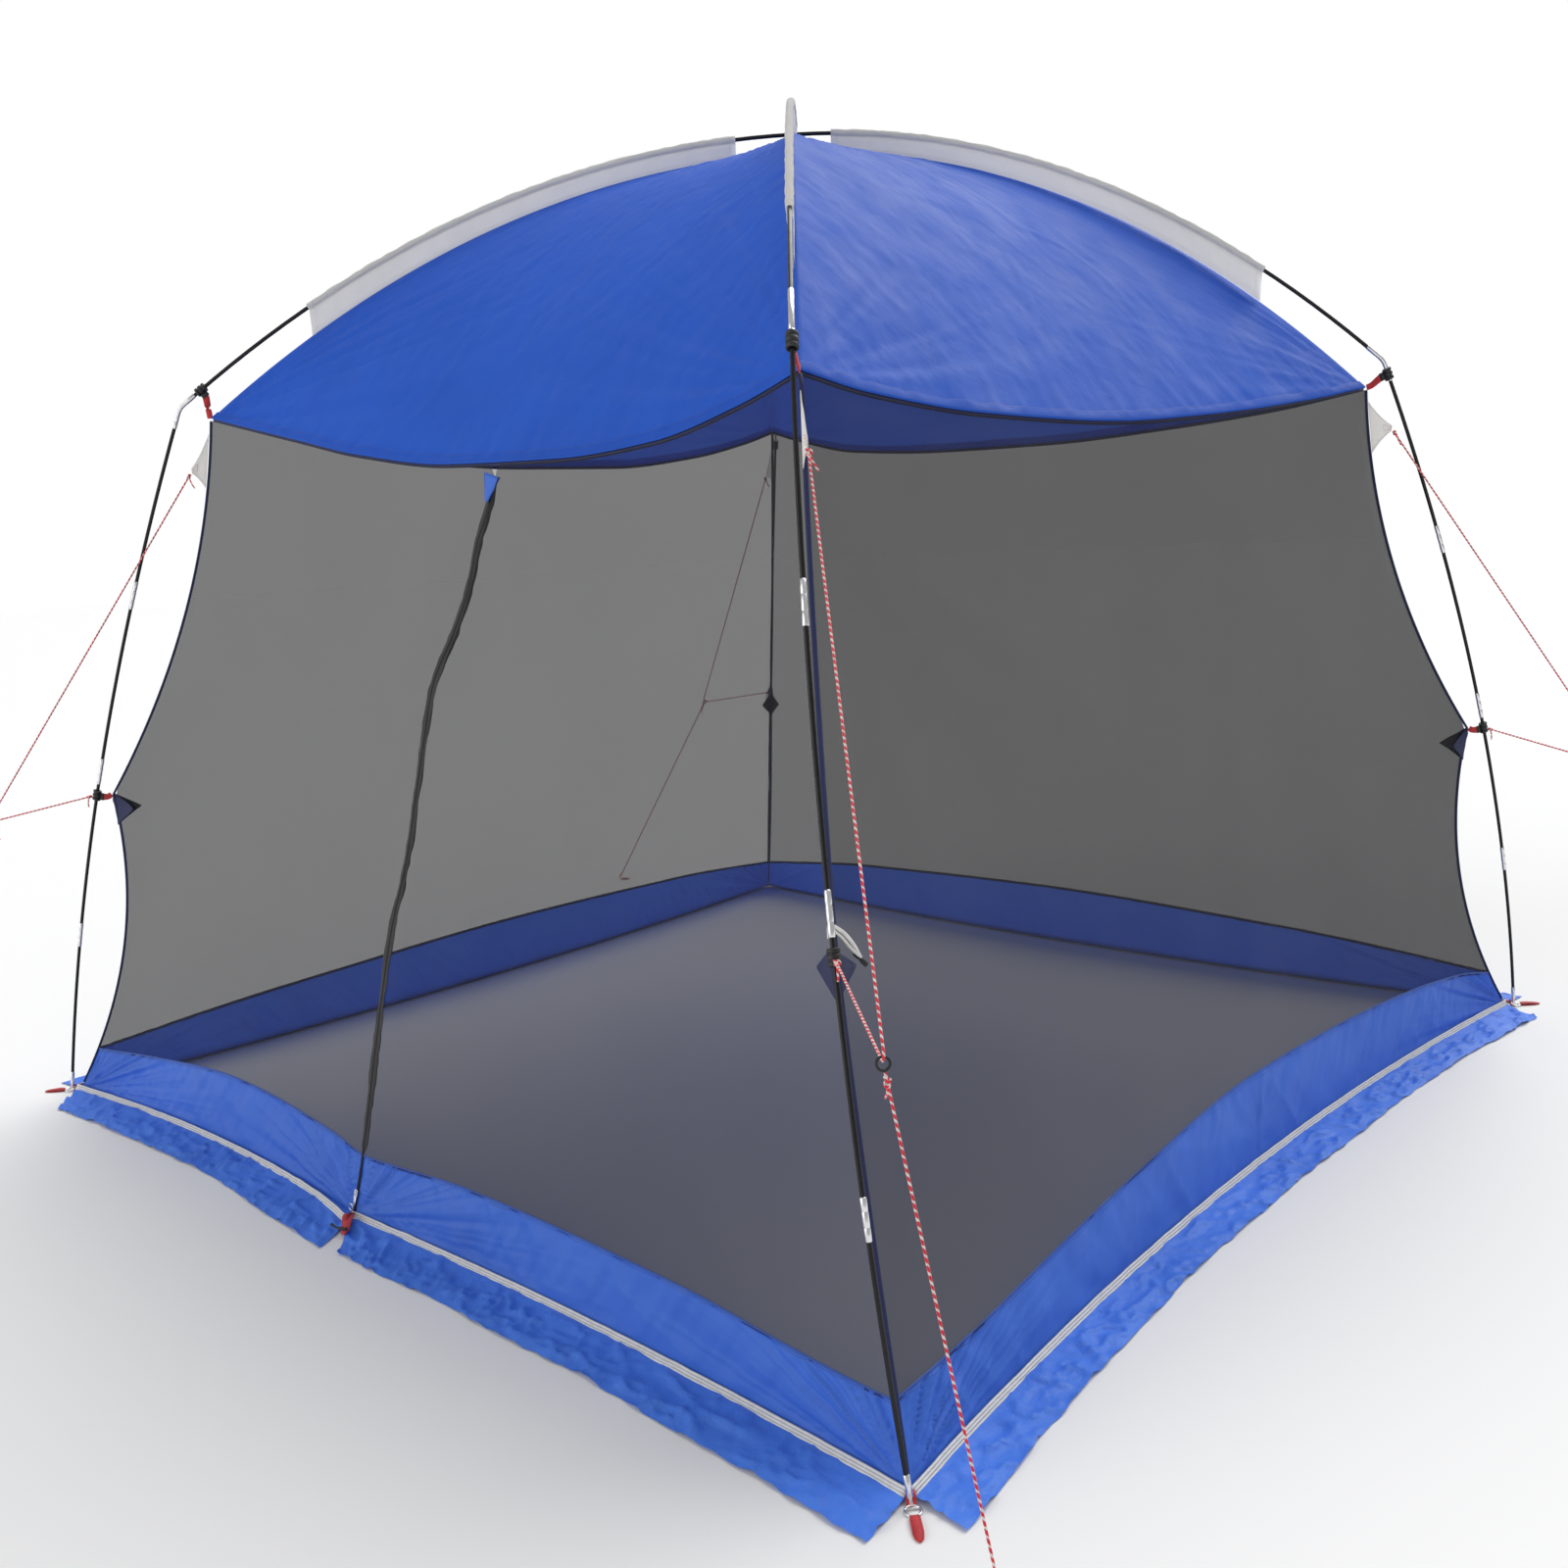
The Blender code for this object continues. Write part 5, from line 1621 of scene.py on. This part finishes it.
SEAMS = {corner: make_seam(corner) for corner in CORNERS}
PATCHES = {corner: make_patch(corner) for corner in CORNERS}
TABS = {corner: make_guy_tab(corner) for corner in CORNERS}


# ---- Clips, webbing and feet ----


CLIP_HALF_HEIGHT, CLIP_BORE = 0.014, 0.0062
# A clip's outline: (share of its height, radius).
CLIP_OUTLINE = (
    (0, 0.0078), (0.02, 0.0096), (0.06, 0.0104), (0.20, 0.0104), (0.24, 0.0100), (0.27, 0.0084),
    (0.33, 0.0084), (0.36, 0.0100), (0.40, 0.0106), (0.60, 0.0106), (0.64, 0.0100), (0.67, 0.0084),
    (0.73, 0.0084), (0.76, 0.0100), (0.80, 0.0104), (0.94, 0.0104), (0.98, 0.0096), (1, 0.0078),
)


def ribbed_clip_shape(low, high, bore):
    """A moulded clip round a pole: three ribs between two necks."""
    outer = [lerp(low, high, t) for t, _ in CLIP_OUTLINE]
    points = outer + [high, low, outer[0]]
    radii = [r for _, r in CLIP_OUTLINE] + [bore, bore, CLIP_OUTLINE[0][1]]
    axis = unit(high - low)
    side = unit(np.cross(axis, UP if abs(axis[2]) < 0.9 else vec(1, 0, 0)))
    over = np.cross(axis, side)
    turns = circle(24)
    rings = [p + r * (np.cos(turns)[:, None] * side + np.sin(turns)[:, None] * over) for p, r in zip(points, radii)]
    return np.array(rings).reshape(-1, 3), [tuple(f) for f in grid_faces(len(points), 24, closed=True)]


def make_clip(corner, name, place, target, target_out):
    """A black clip on the pole, and red webbing from its lug to the cloth."""
    low, middle, high = place(-CLIP_HALF_HEIGHT), place(0.0), place(CLIP_HALF_HEIGHT)
    axis = unit(high - low)
    towards = target - middle
    level = unit(towards - axis * towards.dot(axis))
    clip = ribbed_clip_shape(low, high, CLIP_BORE)
    lug = box_shape(middle + level * 0.0135, level, axis, (0.011, 0.019, 0.0058), 0.2)
    body = mesh_piece(f"{corner}_{name}_body", *joined(clip, lug), PLASTIC)
    body.data.set_sharp_from_angle(angle=math.radians(50))
    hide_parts(f"{corner}_{name}")
    start = middle + level * 0.0165
    sag = -UP * 0.003
    path = spline([start, lerp(start, target, 0.35) + sag * 0.7, lerp(start, target, 0.7) + sag, target], step=0.004)
    t = np.linspace(0, 1, len(path))[:, None]
    across = unit_rows(lerp(axis, target_out, smooth(t)))
    face = unit_rows(np.cross(np.gradient(path, axis=0), across))
    width = 0.0175 - 0.004 * t[:, 0]
    front = ribbon_shape(path + face * 0.0009, across, width, 0.0014)
    back = ribbon_shape(path - face * 0.0009, across, width * 0.98, 0.0014)
    webbing = mesh_piece(f"{corner}_{name}_webbing", *joined(front, back), RED_WEBBING)
    for k, sign in enumerate((-1, 1)):
        line = path + across * (width * 0.34)[:, None] * sign + face * 0.0018
        stitches(f"{corner}_{name}_webbing_stitches_{k + 1}", line, face, RED_THREAD)


RED_THREAD = shader("red_thread", (0.30, 0.010, 0.012), 0.7)


def along_leg(corner, height):
    """place(distance) along the leg, from this height."""
    centre = leg_point(corner, height)
    axis = unit(leg_point(corner, height + 0.01) - leg_point(corner, height - 0.01))
    return lambda d: centre + axis * d


def along_roof(corner, reach):
    """place(distance) along the roof pole, from this far in from the eave."""
    share = 1 - reach / np.linalg.norm(vec(EAVE[corner]) - APEX)
    centre = roof_point(corner, share)
    axis = unit(roof_point(corner, share - 0.01) - roof_point(corner, share + 0.01))
    return lambda d: centre + axis * d


def make_clips(corner):
    """The clip under a corner's elbow and the one at mid height."""
    eave = EAVE[corner][2]
    out = -inward(corner)
    target = vec(CANOPY_CORNER[corner]) + out * 0.004
    drop = EAVE_CLIP_DROP.get(corner)
    place = along_leg(corner, eave - drop) if drop else along_roof(corner, ROOF_CLIP_REACH)
    make_clip(corner, "eave_clip", place, target, UP if corner != "front_left" else unit(UP + out))
    place = along_leg(corner, SIDE_CLIP_SHARE * eave)
    make_clip(corner, "side_clip", place, patch_point(corner) + out * 0.009, UP)


def make_foot(corner):
    """The ring and pin under a foot, and the red webbing from the seam through the ring to the peg tab."""
    foot, out = vec(*FOOT[corner], 0.0), -inward(corner)
    side = np.cross(UP, out)

    def line(start, *steps):
        """A smooth line from start, through steps out from the foot and up."""
        return spline([*start, *(foot + out * reach + UP * rise for reach, rise in steps)], step=0.003)

    t = circle(40)[:, None]
    hoop = foot + out * 0.006 + UP * 0.0030 + 0.0130 * (np.cos(t) * out + np.sin(t) * side)
    ring = loop_shape(hoop, 0.002, 10)
    pin = tube_shape([foot + side * s + UP * 0.0034 for s in (-0.0125, -0.006, 0, 0.006, 0.0125)], 0.0022, 10)
    piece = mesh_piece(f"{corner}_steel_ring", *joined(ring, pin), STEEL)
    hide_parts(f"{corner}_foot_ring")
    ground = seam_foot(corner)
    seam = [ground + out * 0.001 + UP * 0.010, ground + out * 0.012 + UP * 0.011]
    inner = line(seam, (-0.012, 0.0075), (-0.004, 0.0016))
    inner[:, 2] = np.maximum(inner[:, 2], 0.0018)
    outer = line([], (0.020, 0.0062), (0.030, 0.0075), (0.052, 0.0058), (0.078, 0.0028))
    under = line([], (0.021, 0.0024), (0.035, 0.0016), (0.056, 0.0014), (0.077, 0.0012))
    width = np.interp(np.linspace(0, 1, len(outer)), [0, 0.65, 0.88, 1], [0.0165, 0.018, 0.014, 0.004])
    shapes = [
        ribbon_shape(inner, side, 0.0165, 0.0016),
        ribbon_shape(outer, side, width, 0.0015),
        ribbon_shape(under, side, width[: len(under)], 0.0015),
    ]
    webbing = mesh_piece(f"{corner}_peg_webbing", *joined(*shapes), RED_WEBBING)
    for k, sign in enumerate((-1, 1)):
        row = outer + side * (width * 0.36)[:, None] * sign + UP * 0.0010
        stitches(f"{corner}_peg_webbing_stitches_{k + 1}", row, UP, RED_THREAD)


for corner in CORNERS:
    make_clips(corner)
    make_foot(corner)


# ---- The zip ----


def zip_frames(points):
    """The zip's direction, its outward direction and its right-hand direction at each point."""
    along = unit_rows(np.gradient(points, axis=0))
    out = outward("front") - along * (along @ outward("front"))[:, None]
    out = unit_rows(out)
    side = np.cross(out, along)
    side = np.where((side[:, 0] < 0)[:, None], -side, side)
    return along, out, side


ZIP_STEP, TOOTH_STEP = 0.0045, 0.0022
# A tooth's outline: (away from the middle of the zip, outward).
TOOTH_OUTLINE = ((0.0, -0.0005), (0.0021, -0.0005), (0.0021, 0.0009), (0.0006, 0.0015), (0.0, 0.0010))


def make_zip():
    """The zip's two tapes with their stitches and their rows of teeth."""
    points = respaced(zip_line(400), step=ZIP_STEP)
    _, out, side = zip_frames(points)
    heights = np.arange(len(points)) * ZIP_STEP
    for hand, sign in (("left", -1), ("right", 1)):
        wave = 0.0028 * noise(heights * 24, sign * 2.0, 800) + 0.0018 * noise(heights * 60, sign * 3.0, 801)
        lift = 0.0022 * noise(heights * 17, sign * 4.0, 803)
        narrow = lerp(0.30, 1.0, smooth((points[:, 2] - 0.15) / 0.03))
        columns = []
        for k, reach in enumerate((0.0008, 0.0036, 0.0068, 0.0098, 0.0116)):
            edge = wave * (k / 4)
            height = 0.0028 + lift * (k / 4) ** 2 - 0.0010 * (k / 4)
            columns.append(points + side * (sign * (reach + edge) * narrow)[:, None] + out * height[:, None])
        tape = grid_piece(f"{hand}_zip_tape", np.stack(columns, axis=1), ZIP_TAPE, body=None)
        thicken(tape, 0.0012)
        fold_with_door(tape)
        line = points + side * (sign * 0.0078 * narrow)[:, None] + out * 0.0036
        made = stitches(f"{hand}_zip_stitches", line, out, PALE_BLACK_THREAD, body=None)
        fold_with_door(made)
        coil = respaced(zip_line(400), step=TOOTH_STEP)
        c_along, c_out, c_side = zip_frames(coil)
        base = coil + c_along * (TOOTH_STEP / 2 if sign > 0 else 0.0)
        ring = [base + c_side * sign * reach + c_out * (0.0034 + tall) for reach, tall in TOOTH_OUTLINE]
        ring = np.stack(ring, axis=1)
        near, far = ring - c_along[:, None] * 0.0006, ring + c_along[:, None] * 0.0006
        verts = np.concatenate([near, far], axis=1).reshape(-1, 3)
        faces = []
        for k in range(len(coil)):
            n = 10 * k
            faces += [(n + a, n + (a + 1) % 5, n + 5 + (a + 1) % 5, n + 5 + a) for a in range(5)]
            faces += [(n + 4, n + 3, n + 2, n + 1, n), (n + 5, n + 6, n + 7, n + 8, n + 9)]
        teeth = mesh_piece(f"{hand}_zip_teeth", verts, faces, ZIP_TEETH, body=None, flat=True)
        fold_with_door(teeth)


PALE_BLACK_THREAD = shader("grey_thread", (0.035, 0.035, 0.037), 0.7)


def rounded(value):
    """A sine or cosine, drawn out so that the outline it makes is squarer than an ellipse."""
    return math.copysign(abs(value) ** 0.6, value)


def make_slider():
    """The zip's slider and its puller, moved from the CAD slider's place onto the teeth."""
    centre = box_middle("zip_slider")
    out = unit(outward("front") - ZIP_ALONG * outward("front").dot(ZIP_ALONG))
    side = np.cross(ZIP_ALONG, out)
    onto_teeth = -0.0082 * side  # the CAD slider rides beside the zip's line
    centre = centre + onto_teeth
    plate = box_shape(centre + out * 0.0056, ZIP_ALONG, side, (0.021, 0.0115, 0.0020), 0.4)
    back = box_shape(centre - out * 0.0036, ZIP_ALONG, side, (0.020, 0.0105, 0.0012), 0.4)
    neck = box_shape(centre + ZIP_ALONG * 0.006 + out * 0.001, ZIP_ALONG, side, (0.005, 0.0010, 0.0090), 0.2)
    t = np.linspace(0, math.pi, 9)
    bridge = [centre + out * (0.0064 + 0.0026 * math.sin(a)) + ZIP_ALONG * (0.006 * math.cos(a) + 0.002) for a in t]
    shape = joined(plate, back, neck, tube_shape(bridge, 0.0010, 8))
    slider = mesh_piece("zip_slider_body", *shape, STEEL, body="zip_slider")
    slider.data.set_sharp_from_angle(angle=math.radians(35))
    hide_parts("zip_slider")
    middle = box_middle("zip_puller") + onto_teeth
    outline = []
    for a in circle(36):
        wide = 0.0026 + 0.0012 * smooth((1 - math.cos(a)) / 2)
        outline.append(middle + ZIP_ALONG * 0.0148 * rounded(math.cos(a)) + side * wide * rounded(math.sin(a)))
    rim = loop_shape(np.array(outline), 0.0010, 8)
    leaf = box_shape(middle - ZIP_ALONG * 0.004, ZIP_ALONG, side, (0.019, 0.0055, 0.0010), 0.3)
    puller = mesh_piece("zip_puller_leaf", *joined(rim, leaf), STEEL, body="zip_puller")
    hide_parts("zip_puller")


def make_zip_ends():
    """The blue gusset over the zip's top, and the webbing, hook and peg loop at its foot."""
    top = vec(ZIP_PATH[0]) - UP * 0.004
    a, n, s = (rows[-2] for rows in zip_frames(zip_line(60)))
    grid = np.zeros((8, 9, 3))
    for i, v in enumerate(np.linspace(0, 1, 8)):
        for j, w in enumerate(np.linspace(-1, 1, 9)):
            wide, height = 0.021 * (1 - v) + 0.0045, 0.0075 + 0.002 * (1 - w * w)
            grid[i, j] = top + UP * 0.010 - a * v * 0.052 + s * w * wide + n * height
    gusset = grid_piece("zip_top_gusset", grid, BAND)
    thicken(gusset, 0.0014)
    line = lerp(np.concatenate([grid[::-1, 0], grid[:, -1]]), grid[3, 4], 0.12) + n * 0.001
    stitches("zip_top_stitches", line, n, NAVY_THREAD)
    foot = vec(ZIP_PATH[-1])

    def from_foot(*steps):
        return spline([foot + vec(step) for step in steps], step=0.003)

    strap = from_foot((0.002, -0.006, 0.008), (0.022, -0.026, 0.013), (0.048, -0.048, 0.010), (0.078, -0.074, 0.004))
    width = np.interp(np.linspace(0, 1, len(strap)), [0, 0.3, 0.8, 1], [0.014, 0.022, 0.020, 0.006])
    across = unit(vec(0.7, 0.7, 0.2))
    under = from_foot((0.004, -0.010, 0.009), (0.016, -0.030, 0.018), (0.040, -0.050, 0.006), (0.072, -0.072, 0.0025))
    shape = joined(ribbon_shape(strap, across, width, 0.0018), ribbon_shape(under, across, 0.013, 0.0018))
    webbing = mesh_piece("zip_foot_webbing", *shape, RED_WEBBING)
    hook = from_foot((0.030, -0.076, 0.016), (0.044, -0.074, 0.012), (0.060, -0.070, 0.012), (0.074, -0.064, 0.013))
    radii = np.interp(np.linspace(0, 1, len(hook)), [0, 0.3, 0.7, 1], [0.0035, 0.0024, 0.0038, 0.0030])
    mesh_piece("zip_foot_hook", *tube_shape(hook, radii, 10), PLASTIC)
    eye, up, over = foot + vec(0, -0.006, 0.022), vec(0.3, 0.1, 0.95), vec(0.95, 0, -0.3)
    ring = np.array([eye + 0.008 * (math.cos(t) * up + math.sin(t) * over) for t in circle(24)])
    mesh_piece("zip_foot_ring", *loop_shape(ring, 0.0014, 8), STEEL)


make_zip()
make_slider()
make_zip_ends()


# ---- The door's tie-back ----


# Half of the toggle's outline, from its end to its middle: (share of its length from the middle, radius).
TOGGLE_OUTLINE = ((0.5, 0.0018), (0.49, 0.0030), (0.44, 0.0039), (0.12, 0.0040), (0.10, 0.0031))


def make_tie_back():
    """The black toggle and the doubled white loop that holds the rolled door by it."""
    centre = box_middle("tie_back_toggle")
    along = unit(vec(0.662, 0.2625, -0.688))
    rows = [(-s, r) for s, r in TOGGLE_OUTLINE] + [*TOGGLE_OUTLINE[::-1]]
    shape = tube_shape([centre + along * TOGGLE_LENGTH * s for s, _ in rows], [r for _, r in rows], 14)
    toggle = mesh_piece("black_toggle", *shape, PLASTIC, body="tie_back_toggle")
    toggle.data.set_sharp_from_angle(angle=math.radians(50))
    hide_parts("tie_back_toggle")
    root = seam_point("front_right", 0.515) - inward("front_right") * 0.009
    shapes = []
    for shift, lift in ((0.0, 0.0), (0.006, 0.007)):
        path = [
            root + vec(-0.004, 0, -0.010),
            root + vec(0.002, -0.003, 0.003 + lift),
            lerp(root, centre, 0.35) + vec(shift, -0.004, 0.010 + lift),
            lerp(root, centre, 0.7) + vec(shift, -0.003, 0.006 + lift),
            centre + vec(0.0005, -0.0005, 0.003),
        ]
        line = spline(path, step=0.003)
        shapes.append(ribbon_shape(line, vec(0.55, -0.5, 0.6), 0.0085, 0.0034))
    loop = mesh_piece("white_tie_loop", *joined(*shapes), WHITE_TAPE)


make_tie_back()


# ---- The flat size of each sheet of cloth ----


CANOPY_CUT, SLEEVE_CUT, BAND_CUT, SKIRT_CUT, PATCH_CUT = (2.44, 2.42), 0.085, 0.26, 0.14, (0.10, 0.10)


def declare_sheets():
    """Each panel was cut flat: works out a box of its greatest width and length for each, which nothing keeps."""
    declare_sheet(canopy, CANOPY_CUT)
    for sleeve in SLEEVES:
        declare_sheet(sleeve, (SLEEVE_CUT, sheet_area(sleeve) / SLEEVE_CUT * 1.02))
    for base, netting, band, skirt, tape in WALLS.values():
        low = float(line_length(base[0]))
        tall = float(max(line_length(base[:, k]) for k in (0, 45, -1)))
        declare_sheet(netting, (low, tall))
        declare_sheet(band, (low, BAND_CUT))
        declare_sheet(skirt, (low, SKIRT_CUT))
    for corner in CORNERS:
        top, bottom, tip = tab_points(corner)
        size = np.linalg.norm(tip - (top + bottom) / 2), np.linalg.norm(top - bottom)
        declare_sheet(TABS[corner], size)
        declare_sheet(PATCHES[corner], PATCH_CUT)


declare_sheets()
